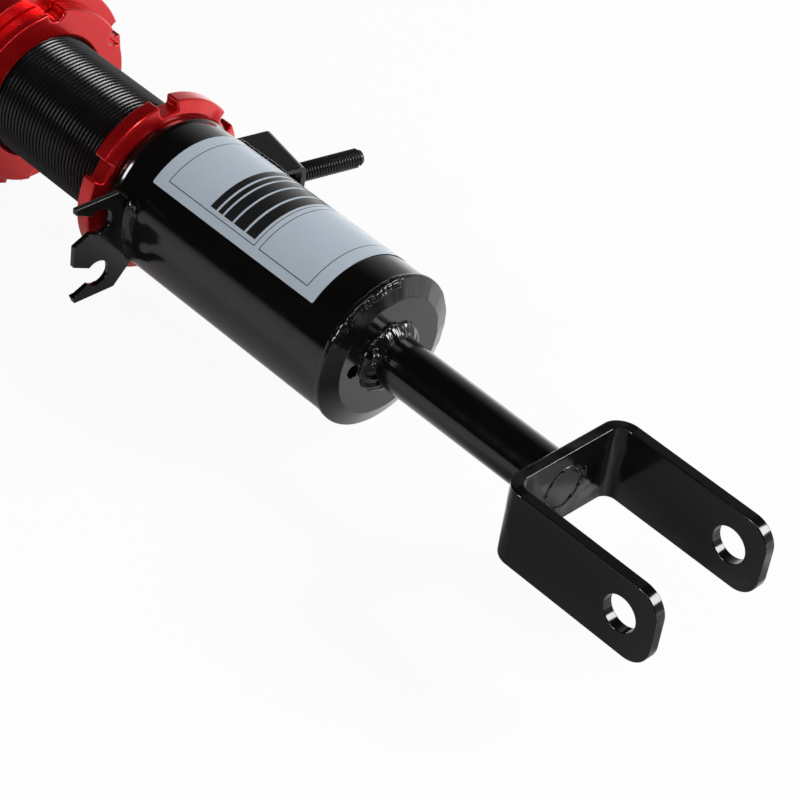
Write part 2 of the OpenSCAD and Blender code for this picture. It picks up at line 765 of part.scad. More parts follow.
module dust_boot() color("#141516") {
  valley = boot_r - boot_rib;
  turned(concat(
    [[cuff_r, cuff_s], [cuff_r + 2, cuff_s], [cuff_r + 2, rib_start_s]],
    [
      for (i = [0 : boot_ribs - 1], half = [1, 2])
        [half == 1 ? boot_r : valley, rib_start_s + (i + half / 2) * rib_pitch]
    ],
    [
      [boot_r + 0.6, rib_top_s], [boot_r + 0.6, rib_top_s + boot_lip],
      [valley - boot_wall, rib_top_s + boot_lip]
    ],
    [
      for (i = [boot_ribs - 1 : -1 : 0], half = [2, 1])
        [(half == 1 ? boot_r : valley) - boot_wall, rib_start_s + (i + half / 2) * rib_pitch]
    ],
    [[cuff_r, rib_start_s]]
  ));
}

// Piston rod: bored for the needle, with a smaller bleed bore under the needle's seat
needle_seat_s = piston_s + piston_t * 0.4;
bleed_r = needle_r * 0.6;
seat_cone = 3;

module piston_rod() color("#c7cacd")
  turned([
    [bleed_r, rod_s], [rod_end_r, rod_s], [rod_end_r, shoulder_s], [rod_r, shoulder_s],
    [rod_r, roof_s], [rod_end_r, roof_s], [rod_end_r, rod_top_s - edge],
    [rod_end_r - edge, rod_top_s], [needle_bore_r, rod_top_s],
    [needle_bore_r, needle_seat_s + seat_cone], [bleed_r, needle_seat_s],
  ]);

port_count = 6;
port_r = 2.2;
band_groove = 1;

module piston() color("#9aa0a5") difference() {
  middle = piston_s + piston_t / 2;
  side_r = tube_bore_r - 2 * slide_gap;
  turned([
    [rod_end_r + fit_gap, piston_s], [side_r - edge, piston_s], [side_r, piston_s + edge],
    [side_r, middle - band_w / 2], [side_r - band_groove, middle - band_w / 2],
    [side_r - band_groove, middle + band_w / 2], [side_r, middle + band_w / 2],
    [side_r, piston_s + piston_t - edge], [side_r - edge, piston_s + piston_t],
    [rod_end_r + fit_gap, piston_s + piston_t],
  ]);
  around(port_count, 0) translate([0, tube_bore_r * 0.65, 0])
    bar(piston_s - cut, piston_t + 2 * cut, port_r);
}

module piston_band() color("#2c2f33")
  collar_of(
    piston_s + piston_t / 2 - band_w / 2, band_w,
    tube_bore_r - slide_gap, tube_bore_r - 2 * slide_gap - band_groove
  );

// Each stack of shims steps down from the piston's face.
shim_steps = 4;
shim_bore_r = rod_end_r + fit_gap;

function shim_r(step) = tube_bore_r * (0.84 - 0.1 * step);

module shim_stack(face_s, direction) turned(concat(
  [[shim_bore_r, face_s]],
  [
    for (step = [0 : shim_steps - 1], end = [0, 1])
      [shim_r(step), face_s + direction * (step + end) * shims_t / shim_steps]
  ],
  [[shim_bore_r, face_s + direction * shims_t]]
));

module compression_shims() color("#b9bdc1") shim_stack(piston_s, -1);

module rebound_shims() color("#b9bdc1") shim_stack(piston_s + piston_t, 1);

module piston_nut() color("#8d9196") difference() {
  hex(piston_nut_s, piston_nut_t, 1.5 * rod_thread_d);
  bar(piston_nut_s - cut, piston_nut_t + 2 * cut, rod_end_r + fit_gap);
}

// Pillow ball on the rod, clamped between two spacers by the top nut
module lower_spacer() color("#8d9196") collar_of(seat_top_s, spacer_t, spacer_r, rod_end_r + fit_gap);

module pillow_ball() color("#c7cacd") difference() {
  sphere_slice(ball_d / 2, ball_w, ball_s);
  bar(ball_s - ball_w, 2 * ball_w, rod_end_r + fit_gap);
}

module upper_spacer() color("#8d9196") collar_of(ball_top_s, upper_spacer_t, spacer_r, rod_end_r + fit_gap);

module top_nut() color("#8d9196") difference() {
  union() {
    hex(top_nut_s, top_nut_t, 1.58 * rod_thread_d);
    bar(top_nut_s, 2, 0.95 * rod_thread_d);
  }
  bar(top_nut_s - cut, top_nut_t + 2 * cut, rod_end_r + fit_gap);
}

// Liner between the ball and its race
liner_r = [ball_d / 2 + slide_gap, ball_d / 2 + 1];
race_in_r = liner_r.y + slide_gap;
race_r = race_in_r + 3.95;
liner_w = race_w - 0.7;

module ball_liner() color("#d8d3c4") difference() {
  sphere_slice(liner_r.y, liner_w, ball_s);
  translate([-ball_s, 0, 0]) sphere(liner_r.x);
}

module ball_race() color("#9aa0a5") difference() {
  bar(ball_s - race_w / 2, race_w, race_r);
  translate([-ball_s, 0, 0]) sphere(race_in_r);
}

// Top plate: three-cornered, with a cup that holds the race between a shoulder and a circlip
shoulder_w = 2;
clip_t = 1.4;
clip_groove = 1;
cup_wall = 7;
plate_top_s = ball_s + race_w / 2 + fit_gap + shoulder_w;
top_neck_r = top_stud_d / 2 + 0.3;
plate_s = plate_top_s - plate_t;
cup_s = ball_s - race_w / 2 - fit_gap - clip_t - 1.2;
cup_bore_r = race_r + fit_gap;
stud_circle_r = stud_circle_d / 2;

module plate_outline() {
  corners = [0, 120, 240];
  for (a = corners) translate(stud_circle_r * [cos(a), sin(a)]) circle(lobe_r);
  polygon([
    for (a = corners, end = [0, 120])
      stud_circle_r * [cos(a + end), sin(a + end)] + lobe_r * [cos(a + 60), sin(a + 60)]
  ]);
}

module top_plate() color("#1b1c1e") difference() {
  union() {
    up_from(plate_s) linear_extrude(plate_t) plate_outline();
    bar(cup_s, plate_s - cup_s, cup_bore_r + cup_wall);
  }
  bar(cup_s - cut, plate_top_s - shoulder_w - cup_s + cut, cup_bore_r);
  bar(cup_s, plate_top_s - cup_s + cut, race_in_r - 0.45);
  bar(ball_s - race_w / 2 - fit_gap - clip_t, clip_t, cup_bore_r + clip_groove);
  around(3, 90) translate([0, stud_circle_r, 0]) bar(plate_s - cut, plate_t + 2 * cut, top_neck_r);
}

clip_opening = 36;

module race_circlip() color("#7c8186")
  rotate([0, -90, 0]) rotate_extrude(angle = 360 - clip_opening)
    translate([race_in_r + 0.9, ball_s - race_w / 2 - fit_gap - clip_t + fit_gap])
      square([cup_bore_r + clip_groove - 0.1 - race_in_r - 0.9, clip_t - 2 * fit_gap]);

top_head = [16, 3];

module top_studs() color("#8d9196") around(3, 90) translate([0, stud_circle_r, 0])
  turned([
    [0, plate_s - top_head.y], [top_head.x / 2, plate_s - top_head.y], [top_head.x / 2, plate_s],
    [top_neck_r - fit_gap, plate_s], [top_neck_r - fit_gap, plate_top_s],
    [top_stud_d / 2, plate_top_s], [top_stud_d / 2, plate_top_s + top_stud_length - 1],
    [top_stud_d / 2 - 1, plate_top_s + top_stud_length], [0, plate_top_s + top_stud_length],
  ]);

// Damping adjuster: the knob's stem turns in the rod's bore and drives the needle
knob_stem = 15;
needle_play = 2;
knob_flutes = 12;

module adjuster_knob() color("#b3161b") difference() {
  union() {
    bar(knob_s, knob_t, knob_d / 2);
    bar(knob_s - knob_stem, knob_stem, needle_r);
  }
  around(knob_flutes, 0) translate([0, knob_d / 2 + 0.5, 0]) bar(knob_s - cut, knob_t + 2 * cut, 1.1);
}

module metering_needle() color("#c7cacd") {
  tip_s = needle_seat_s + seat_cone + 0.5;
  turned([
    [0, tip_s], [needle_r * 0.3, tip_s], [needle_r, tip_s + 4],
    [needle_r, knob_s - knob_stem - needle_play], [0, knob_s - knob_stem - needle_play],
  ]);
}

fork();
plug_weld();
stem_fork_weld();
fork_stem();
end_cap();
stem_cap_weld();
lower_housing();
cap_housing_weld();
label();
hose_bracket();
hose_bracket_weld();
stud_bracket();
stud_bracket_welds();
bracket_stud();
lower_lock_ring();
damper_tube();
base_plug();
gas_valve();
rod_guide();
guide_bush();
rod_seal();
gland_cap();
rod_wiper();
floating_piston();
floating_piston_seal();
perch_lock_ring();
spring_perch();
lower_spring_washer();
coil_spring();
upper_spring_washer();
upper_spring_seat();
bump_stop();
dust_boot();
piston_rod();
piston();
piston_band();
compression_shims();
rebound_shims();
piston_nut();
lower_spacer();
pillow_ball();
upper_spacer();
top_nut();
ball_liner();
ball_race();
top_plate();
race_circlip();
top_studs();
adjuster_knob();
metering_needle();
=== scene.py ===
import json
import math
import random

import bpy
from mathutils import Matrix, Vector
from mathutils import noise as field


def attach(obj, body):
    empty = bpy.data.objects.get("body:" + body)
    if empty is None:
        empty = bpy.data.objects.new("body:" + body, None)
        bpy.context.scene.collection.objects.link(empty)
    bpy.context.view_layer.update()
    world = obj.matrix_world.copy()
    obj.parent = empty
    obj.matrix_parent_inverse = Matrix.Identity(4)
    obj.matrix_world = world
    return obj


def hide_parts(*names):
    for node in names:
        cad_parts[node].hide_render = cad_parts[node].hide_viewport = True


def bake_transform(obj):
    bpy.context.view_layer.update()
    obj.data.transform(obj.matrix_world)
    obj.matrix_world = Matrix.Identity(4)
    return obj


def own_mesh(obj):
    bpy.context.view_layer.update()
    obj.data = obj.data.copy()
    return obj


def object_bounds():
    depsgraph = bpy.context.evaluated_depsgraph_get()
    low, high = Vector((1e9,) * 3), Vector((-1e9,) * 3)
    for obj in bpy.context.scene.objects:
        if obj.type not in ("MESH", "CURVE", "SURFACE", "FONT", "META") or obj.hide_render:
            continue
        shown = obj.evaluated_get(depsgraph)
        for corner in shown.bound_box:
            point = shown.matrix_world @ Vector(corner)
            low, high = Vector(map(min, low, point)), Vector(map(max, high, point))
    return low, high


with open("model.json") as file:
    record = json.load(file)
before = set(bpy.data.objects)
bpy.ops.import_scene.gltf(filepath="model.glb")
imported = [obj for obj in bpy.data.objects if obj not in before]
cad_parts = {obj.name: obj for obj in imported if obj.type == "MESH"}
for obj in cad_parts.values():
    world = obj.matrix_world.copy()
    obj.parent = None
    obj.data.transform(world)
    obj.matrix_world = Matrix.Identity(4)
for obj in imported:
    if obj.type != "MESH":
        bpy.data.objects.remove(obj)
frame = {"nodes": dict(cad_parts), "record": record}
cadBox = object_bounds()
nodes = frame["nodes"]
mm = 0.001
deg = math.radians(1)
sameSpot = 2e-6  # points closer than this are one point
print("frame loaded:", len(nodes), "CAD nodes")


# Small tools. Lengths are written in millimetres, and a height is the distance up the strut,
# towards -X, from the fork bolt.

def deselectAll():
    if bpy.context.object and bpy.context.object.mode != "OBJECT":
        bpy.ops.object.mode_set(mode="OBJECT")
    bpy.ops.object.select_all(action="DESELECT")


def pick(piece):
    deselectAll()
    piece.select_set(True)
    bpy.context.view_layer.objects.active = piece


def edit(piece, select="SELECT"):
    pick(piece)
    bpy.ops.object.mode_set(mode="EDIT")
    bpy.ops.mesh.select_all(action=select)


def leaveEdit():
    bpy.ops.object.mode_set(mode="OBJECT")


def named(name):
    piece = bpy.context.object
    piece.name = name
    piece.data.name = name
    return piece


def settle(piece):
    # the place, turn and size go into the mesh
    pick(piece)
    bpy.ops.object.transform_apply(location=True, rotation=True, scale=True)
    return piece


def applyModifier(piece, kind, **values):
    pick(piece)
    modifier = piece.modifiers.new(kind.lower(), kind)
    for key, value in values.items():
        setattr(modifier, key, value)
    bpy.ops.object.modifier_apply(modifier=modifier.name)
    return piece


def facesOut(piece):
    edit(piece)
    bpy.ops.mesh.remove_doubles(threshold=sameSpot)
    bpy.ops.mesh.normals_make_consistent(inside=False)
    leaveEdit()
    return piece


def soften(piece, width, segments=3, angle=32):
    # small round edges that catch the light
    return applyModifier(
        piece, "BEVEL", width=width * mm, segments=segments, limit_method="ANGLE",
        angle_limit=angle * deg, use_clamp_overlap=False, miter_outer="MITER_ARC",
    )


def cutWith(piece, tool, operation="DIFFERENCE"):
    applyModifier(piece, "BOOLEAN", object=tool, operation=operation, solver="EXACT")
    bpy.data.objects.remove(tool, do_unlink=True)
    return piece


def join(pieces, name):
    deselectAll()
    for piece in pieces:
        piece.select_set(True)
    bpy.context.view_layer.objects.active = pieces[0]
    bpy.ops.object.join()
    return named(name)


def copyOf(piece, name, move):
    # each copy has its own mesh
    pick(piece)
    bpy.ops.object.duplicate()
    made = named(name)
    made.data.transform(move)
    return made


def at(height, radius, angle):
    # a place round the strut, with the angle from +Y towards +Z
    return Vector((-height, radius * math.cos(angle * deg), radius * math.sin(angle * deg))) * mm


def aboutStrut(angle):
    return Matrix.Rotation(angle * deg, 4, "X")


def draw(name, places, closed=True):
    # a line of edges, pulled out of one point as by hand
    deselectAll()
    bpy.ops.mesh.primitive_plane_add(size=mm, location=places[0])
    piece = settle(named(name))
    edit(piece)
    bpy.ops.mesh.merge(type="CENTER")
    stops = list(places[1:]) + ([places[0]] if closed else [])
    here = Vector(places[0])
    for stop in stops:
        bpy.ops.mesh.extrude_vertices_move(TRANSFORM_OT_translate={"value": Vector(stop) - here})
        here = Vector(stop)
    bpy.ops.mesh.select_all(action="SELECT")
    bpy.ops.mesh.remove_doubles(threshold=sameSpot)
    leaveEdit()
    return piece


def turn(name, outline, sides=180, first=0.0, sweep=360):
    # an outline of (height, radius) spun round the strut
    onAxis = outline[0][1] == 0 and outline[-1][1] == 0
    piece = draw(name, [at(height, radius, first) for height, radius in outline], closed=not onAxis)
    edit(piece)
    bpy.ops.mesh.spin(
        steps=sides, angle=sweep * deg, center=(0, 0, 0), axis=(-1, 0, 0), use_auto_merge=sweep == 360
    )
    if sweep < 360:
        bpy.ops.mesh.select_all(action="SELECT")
        bpy.ops.mesh.fill_holes(sides=0)
    return facesOut(piece)


def reshape(piece, shape):
    # shape is given each point's height, radius and angle, and gives back its height and radius
    for vertex in piece.data.vertices:
        x, y, z = vertex.co / mm
        angle = math.degrees(math.atan2(z, y)) % 360
        vertex.co = at(*shape(-x, math.hypot(y, z), angle), angle)
    return piece


def sheetFrom(name, places, thickness):
    # an outline filled and given a thickness
    piece = draw(name, places)
    edit(piece)
    bpy.ops.mesh.edge_face_add()
    bpy.ops.mesh.extrude_region_move(TRANSFORM_OT_translate={"value": Vector(thickness)})
    return facesOut(piece)


def rod(name, radius, length, sides, way, place=(0, 0, 0)):
    # a round bar along X or Y
    deselectAll()
    bpy.ops.mesh.primitive_cylinder_add(
        vertices=sides, radius=radius * mm, depth=length * mm, location=[part * mm for part in place],
        rotation=(0, math.pi / 2, 0) if way == "X" else (math.pi / 2, 0, 0),
    )
    return settle(named(name))


def bar(height, length, radius, sides=96, middle=(0, 0)):
    # a cutter along the strut
    return rod("cutter", radius, length, sides, "X", (-(height + length / 2), *middle))


def block(low, high, name="cutter"):
    deselectAll()
    bpy.ops.mesh.primitive_cube_add(size=1, location=[(a + b) / 2 * mm for a, b in zip(low, high)])
    piece = named(name)
    piece.scale = [(b - a) * mm for a, b in zip(low, high)]
    return settle(piece)


def roundEdges(piece, wanted, width, segments):
    # wanted is told each edge's middle and direction
    edit(piece, "DESELECT")
    bpy.ops.mesh.select_mode(type="EDGE")
    leaveEdit()
    mesh = piece.data
    for edge in mesh.edges:
        a, b = (mesh.vertices[i].co for i in edge.vertices)
        edge.select = wanted((a + b) / 2 / mm, (b - a).normalized())
    bpy.ops.object.mode_set(mode="EDIT")
    bpy.ops.mesh.bevel(offset=width * mm, segments=segments, affect="EDGES")
    bpy.ops.mesh.select_mode(type="VERT")
    leaveEdit()
    return piece


def threadRidge(name, start, length, crest, root, pitch, steps):
    # one helical ridge along +X from x = start, to be sunk a little in its core
    rise = [
        (0.02, -0.10), (0.26, 0.02), (0.35, 0.40), (0.42, 0.84), (0.50, 1.0), (0.62, 0.78), (0.69, 0.35),
        (0.78, 0.02), (0.98, -0.10),
    ]
    piece = draw(name, [
        Vector((start + part * pitch, 0, root + (crest - root) * share)) * mm for part, share in rise
    ])
    turns = length / pitch - 1
    applyModifier(
        piece, "SCREW", axis="X", steps=round(steps * turns), render_steps=round(steps * turns),
        angle=math.tau * turns, screw_offset=(length - pitch) * mm, use_merge_vertices=False,
    )
    edit(piece)
    bpy.ops.mesh.fill_holes(sides=0)
    return facesOut(piece)


def weldBead(name, lumps, grain, rounds):
    # lumps are (place, radius in mm) and melt into one bead
    drops = []
    for place, radius in lumps:
        deselectAll()
        bpy.ops.mesh.primitive_ico_sphere_add(subdivisions=2, radius=radius * mm, location=place)
        drops.append(bpy.context.object)
    piece = settle(join(drops, name))
    applyModifier(piece, "REMESH", mode="VOXEL", voxel_size=grain * mm)
    applyModifier(piece, "SMOOTH", factor=0.5, iterations=rounds)
    return piece


def paint(piece, material):
    piece.data.materials.clear()
    piece.data.materials.append(material)


def dress(piece, body, node, angle=32, slot=None, material=None):
    # the last step for every new piece: it takes its node's slot and finish, unless others are given
    slot = slot or nodeSlot[node]
    paint(piece, material or finishOf[slot])
    pick(piece)
    bpy.ops.object.shade_smooth_by_angle(angle=angle * deg)
    if angle <= 35:
        # flat faces stay flat beside their rounded edges
        applyModifier(piece, "WEIGHTED_NORMAL", keep_sharp=True, weight=60)
    if body:
        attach(piece, body)
    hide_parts(node)


# Materials

def newMaterial(name):
    material = bpy.data.materials.new(name)
    material.use_nodes = True
    tree = material.node_tree
    tree.nodes.clear()
    output = tree.nodes.new("ShaderNodeOutputMaterial")
    shader = tree.nodes.new("ShaderNodeBsdfPrincipled")
    tree.links.new(shader.outputs[0], output.inputs[0])
    return material, tree, shader


def addNode(tree, kind, **values):
    made = tree.nodes.new("ShaderNode" + kind)
    for key, value in values.items():
        if key in made.inputs:
            made.inputs[key].default_value = value
        else:
            setattr(made, key, value)
    return made


def feed(tree, made, *pairs):
    # each socket gets its number, its colour or a link
    for key, value in pairs:
        socket = made.inputs[key]
        if isinstance(value, (int, float)):
            socket.default_value = value
        elif isinstance(value, tuple):
            socket.default_value = (*value, 1)
        else:
            tree.links.new(value, socket)


def calc(tree, operation, a, b=0.0, c=0.0):
    made = addNode(tree, "Math", operation=operation)
    feed(tree, made, (0, a), (1, b), (2, c))
    return made.outputs[0]


def objectPoint(tree):
    return addNode(tree, "TexCoord").outputs["Object"]


def objectAxes(tree):
    split = addNode(tree, "SeparateXYZ")
    tree.links.new(objectPoint(tree), split.inputs[0])
    return split.outputs


def noise(tree, scale, detail, rough=0.55):
    made = addNode(tree, "TexNoise", Scale=scale, Detail=detail, Roughness=rough)
    tree.links.new(objectPoint(tree), made.inputs["Vector"])
    return made.outputs["Fac"]


def spread(tree, source, low, high, start=0.3, end=0.7):
    # from start to end, the source goes from low to high
    made = addNode(tree, "MapRange")
    feed(tree, made, ("Value", source), ("From Min", start), ("From Max", end))
    feed(tree, made, ("To Min", low), ("To Max", high))
    return made.outputs[0]


def mixColour(tree, factor, colourA, colourB):
    made = addNode(tree, "Mix", data_type="RGBA")
    feed(tree, made, (0, factor), (6, colourA), (7, colourB))
    return made.outputs[2]


def mixLevels(tree, factor, low, high):
    made = addNode(tree, "Mix", data_type="FLOAT")
    feed(tree, made, (0, factor), (2, low), (3, high))
    return made.outputs[0]


def bumpFrom(tree, shader, source, strength, distance=0.0002, under=None):
    made = addNode(tree, "Bump", Strength=strength, Distance=distance)
    tree.links.new(source, made.inputs["Height"])
    if under:
        tree.links.new(under, made.inputs["Normal"])
    tree.links.new(made.outputs[0], shader.inputs["Normal"])
    return made.outputs[0]


def grey(value):
    return (value, value, value)


def grained(name, colours, drift, sheen, roughness, skin, strength, distance=0.0002):
    # the colour drifts between two and so does the roughness. drift, sheen and skin are noises:
    # a scale, a detail and, for a coarse one, a roughness.
    material, tree, shader = newMaterial(name)
    tint = mixColour(tree, spread(tree, noise(tree, *drift), 0, 1), *colours)
    tree.links.new(tint, shader.inputs["Base Color"])
    tree.links.new(spread(tree, noise(tree, *sheen), *roughness), shader.inputs["Roughness"])
    bumps = bumpFrom(tree, shader, noise(tree, *skin), strength, distance)
    return material, tree, shader, tint, bumps


def coated(name, colour, colourTo, roughness, peel=0.05, peelScale=900, metal=0.0, coat=0.0, drawn=0.0):
    # paint, plating or dye with orange peel.
    # A drawn plate is a little uneven where it is welded, 50 mm and more from the bolt.
    material, tree, shader, _, bumps = grained(
        name, (colour, colourTo), (45, 6), (160, 5), roughness, (peelScale, 3), peel
    )
    if drawn:
        nearWeld = spread(tree, objectAxes(tree)[0], 1.0, 0.0, -0.053, -0.049)
        uneven = calc(tree, "MULTIPLY", noise(tree, 75, 1), nearWeld)
        bumpFrom(tree, shader, uneven, drawn, 0.002, bumps)
    shader.inputs["Metallic"].default_value = metal
    shader.inputs["Coat Weight"].default_value = coat
    shader.inputs["Coat Roughness"].default_value = 0.05
    return material


def bareMetal(name, colour, colourTo, roughness, scratch=0.12):
    # turned, ground or plated metal: its fine tool marks show in its gloss and in its skin
    marks = (700, 6, 0.7)
    material, _, shader, *_ = grained(
        name, (colour, colourTo), (60, 5), marks, roughness, marks, scratch, 0.0001
    )
    shader.inputs["Metallic"].default_value = 1.0
    return material


def moulded(name, colour, colourTo, roughness, grain=0.2, grainScale=1800):
    return grained(name, (colour, colourTo), (80, 6), (240, 5), roughness, (grainScale, 4), grain)[0]


glossBlack = ((0.0032, 0.0030, 0.0027), (0.0044, 0.0041, 0.0037), (0.11, 0.15), 0.02, 420)
blackPaint = coated("blackPaint", *glossBlack)
forkPaint = coated("forkPaint", *glossBlack, drawn=0.5)
beadPaint = coated("beadPaint", (0.0036, 0.0034, 0.0031), (0.008, 0.0076, 0.007), (0.08, 0.16), 0.06, 900)
springPaint = coated("springPaint", grey(0.012), grey(0.018), (0.34, 0.44), 0.10, 1500)
threadBlack = coated("threadBlack", grey(0.006), grey(0.009), (0.15, 0.20), 0.04, 1600)
redAnodised = coated(
    "redAnodised", (0.58, 0.006, 0.008), (0.62, 0.007, 0.009), (0.26, 0.28), 0.003, 900, 0.72, 0.45
)
blackSteel = coated("blackSteel", grey(0.030), grey(0.045), (0.24, 0.34), 0.08, 1500, 0.35)
blackAluminium = coated("blackAluminium", grey(0.014), grey(0.020), (0.30, 0.38), 0.06, 2200, 0.3)
plainAluminium = bareMetal("plainAluminium", grey(0.56), grey(0.64), (0.26, 0.38))
greySteel = bareMetal("greySteel", grey(0.30), grey(0.40), (0.30, 0.45))
zincSteel = bareMetal("zincSteel", (0.52, 0.53, 0.55), (0.62, 0.62, 0.60), (0.26, 0.40))
hardChrome = bareMetal("hardChrome", grey(0.72), grey(0.78), (0.05, 0.10), 0.02)
valveBrass = bareMetal("valveBrass", (0.60, 0.42, 0.16), (0.68, 0.50, 0.22), (0.22, 0.34))
bushBronze = bareMetal("bushBronze", (0.42, 0.27, 0.13), (0.52, 0.35, 0.18), (0.35, 0.50))
blackRubber = moulded("blackRubber", grey(0.012), grey(0.020), (0.48, 0.62), 0.25)
foamYellow = moulded("foamYellow", (0.60, 0.40, 0.10), (0.72, 0.50, 0.16), (0.60, 0.75), 0.5, 2600)
ptfeWhite = moulded("ptfeWhite", (0.70, 0.68, 0.60), (0.78, 0.75, 0.68), (0.35, 0.45), 0.1)

label = {
    "film": ((0.49, 0.565, 0.645), (0.51, 0.585, 0.665)), "ink": grey(0.012),
    "from": 38.0, "to": 136.4, "low": 162.7, "high": 252.0, "radius": 31.16, "sheet": 0.14, "corner": 0.7,
    "frames": [((197.8, 246.2), (44.9, 129.5)), ((168.7, 195.5), (44.9, 129.5))], "line": 0.35,
    "bars": [(221.0, 224.2), (217.6, 220.0), (212.1, 216.7), (205.4, 211.2), (199.4, 204.4)],
    "barReach": (48.7, 125.7),
}


def printedFilm():
    # the frames and bars are worked out from the height and the direction round the strut
    material, tree, shader, tint, _ = grained(
        "printedFilm", label["film"], (70, 5), (200, 4), (0.27, 0.33), (1200, 3), 0.03
    )
    x, y, z = objectAxes(tree)
    height = calc(tree, "MULTIPLY", x, -1 / mm)
    angle = calc(tree, "MULTIPLY", calc(tree, "ARCTAN2", z, y), 1 / deg)

    def inside(heights, angles, shrink=0.0):
        shrinkAngle = shrink / label["radius"] / deg
        across = calc(tree, "COMPARE", height, sum(heights) / 2, (heights[1] - heights[0]) / 2 - shrink)
        around = calc(tree, "COMPARE", angle, sum(angles) / 2, (angles[1] - angles[0]) / 2 - shrinkAngle)
        return calc(tree, "MULTIPLY", across, around)

    ink = None
    for heights, angles in label["frames"]:
        line = calc(tree, "SUBTRACT", inside(heights, angles), inside(heights, angles, label["line"]))
        ink = line if ink is None else calc(tree, "ADD", ink, line)
    for heights in label["bars"]:
        ink = calc(tree, "ADD", ink, inside(heights, label["barReach"]))
    tree.links.new(mixColour(tree, ink, tint, label["ink"]), shader.inputs["Base Color"])
    return material


finishOf = {
    "black_paint": blackPaint, "bead_paint": beadPaint, "label_film": printedFilm(),
    "black_steel": blackSteel, "red_anodised": redAnodised, "thread_black": threadBlack,
    "plain_aluminium": plainAluminium, "valve_brass": valveBrass, "bush_bronze": bushBronze,
    "black_rubber": blackRubber, "spring_paint": springPaint, "grey_steel": greySteel,
    "foam": foamYellow, "hard_chrome": hardChrome, "ptfe": ptfeWhite, "zinc_steel": zincSteel,
    "black_aluminium": blackAluminium,
}
nodeSlot = {entry["node"]: entry["material_slot"] for entry in frame["record"]["subparts"]}
for name, node in nodes.items():
    paint(node, finishOf[nodeSlot[name]])
print("materials ready")


# Camera

cameraView = {
    "place": (0.35644, -0.56894, 0.60334),
    "right": (0.68439, 0.71940, 0.11864),
    "down": (0.52657, -0.37513, -0.76289),
    "ahead": (-0.50432, 0.58459, -0.63555),
    "lens": 119.925,
}


def makeCamera():
    deselectAll()
    bpy.ops.object.camera_add()
    camera = bpy.context.object
    camera.data.sensor_width = 36
    camera.data.lens = cameraView["lens"]
    camera.data.clip_start, camera.data.clip_end = 0.01, 50
    axes = (Vector(cameraView["right"]), -Vector(cameraView["down"]), -Vector(cameraView["ahead"]))
    camera.matrix_world = Matrix.Translation(cameraView["place"]) @ Matrix(axes).transposed().to_4x4()
    bpy.context.scene.camera = camera
    bpy.context.scene.view_settings.view_transform = "Standard"


makeCamera()
print("camera ready")


# Fork: one bent plate with a bolt hole through both ears

fork = {
    "bolt": 14.4, "gap": 51.0, "sheet": 4.75, "height": 32.0, "reach": 54.4, "nose": 15.1,
    "bend": 4.5, "noseRound": 10.0, "webRound": 1.0, "edge": 0.45, "tenon": 9.22,
}


def makeFork():
    innerHalf, outerHalf = fork["gap"] / 2, fork["gap"] / 2 + fork["sheet"]
    foot = -fork["reach"] - fork["sheet"]
    half = fork["height"] / 2
    body = block((foot, -outerHalf, -half), (fork["nose"], outerHalf, half), "fork_body")
    bends = lambda place, way: abs(way.z) > 0.9 and place.x < -50
    roundEdges(body, bends, fork["bend"] + fork["sheet"], 16)
    hollow = block((foot + fork["sheet"], -innerHalf, -half - 5), (fork["nose"] + 10, innerHalf, half + 5))
    roundEdges(hollow, bends, fork["bend"], 10)
    cutWith(body, hollow)
    side = block((foot, -outerHalf - 5, -half), (fork["nose"], outerHalf + 5, half))
    roundEdges(side, lambda place, way: abs(way.y) > 0.9 and place.x > 0, fork["noseRound"], 16)
    roundEdges(side, lambda place, way: abs(way.y) > 0.9 and place.x < -50, fork["webRound"], 4)
    cutWith(body, side, "INTERSECT")
    cutWith(body, rod("bolt_cutter", fork["bolt"] / 2, 90, 96, "Y"))
    cutWith(body, bar(fork["reach"] - 2, fork["sheet"] + 4, fork["tenon"]))
    facesOut(body)
    soften(body, fork["edge"], 3, 40)
    dress(body, "lower_mount", "fork", 30, material=forkPaint)


makeFork()


# Stem with its tenon welded in the fork's web

stem = {"radius": 10.4, "tenon": 9.2, "from": 54.4, "web": 59.15, "cap": 142.9, "seat": 3.0}


def makeStem():
    outline = [
        (stem["from"], 0), (stem["from"], stem["tenon"]), (stem["web"], stem["tenon"]),
        (stem["web"], stem["radius"]), (stem["cap"], stem["radius"]), (stem["cap"], stem["tenon"]),
        (stem["cap"] + stem["seat"], stem["tenon"]), (stem["cap"] + stem["seat"], 0),
    ]
    piece = turn("stem_bar", outline, 128)
    soften(piece, 0.25, 2)
    dress(piece, "lower_mount", "fork_stem")


makeStem()


# Weld beads: each is an outline swept round its joint, then made uneven by ripples and lobes

def window(angle, low, high, fade=6.0):
    # 1 between two directions, fading out past them
    return max(0.0, min(1.0, (angle - low + fade) / fade, (high + fade - angle) / fade))


def scales(angle, pitch, bow=0.0):
    # round crests with sharp valleys, as a bead has when it is laid step by step
    return abs(math.sin(math.pi * (angle + bow) / pitch)) - 0.64


def lumpy(angle, across, size, seed):
    # a smooth unevenness that closes round the strut
    y, z = math.cos(angle * deg), math.sin(angle * deg)
    return field.noise(Vector((y / size, z / size, across + 7 * seed)))


capBead = {
    "corner": (142.9, 10.4), "leg": 4.3, "hollow": 0.20, "ripple": 6.5, "lobe": 24,
    # each drop's height, radius and direction, and its size
    "drops": [
        ((139.8, 12.4, 148), 1.9), ((140.8, 13.8, 139), 1.6), ((139.6, 11.9, 163), 1.4),
        ((142.2, 14.6, 122), 1.3),
    ],
    "smallDrops": 8, "dropsFrom": 88, "dropsTo": 140,
}
footBead = {"corner": (59.15, 10.4), "leg": 1.3, "hollow": 0.42, "ripple": 6.0}
plugBead = {"corner": (54.4, 8.75), "half": 0.8, "high": 0.38, "crumbs": 22, "specks": 9}


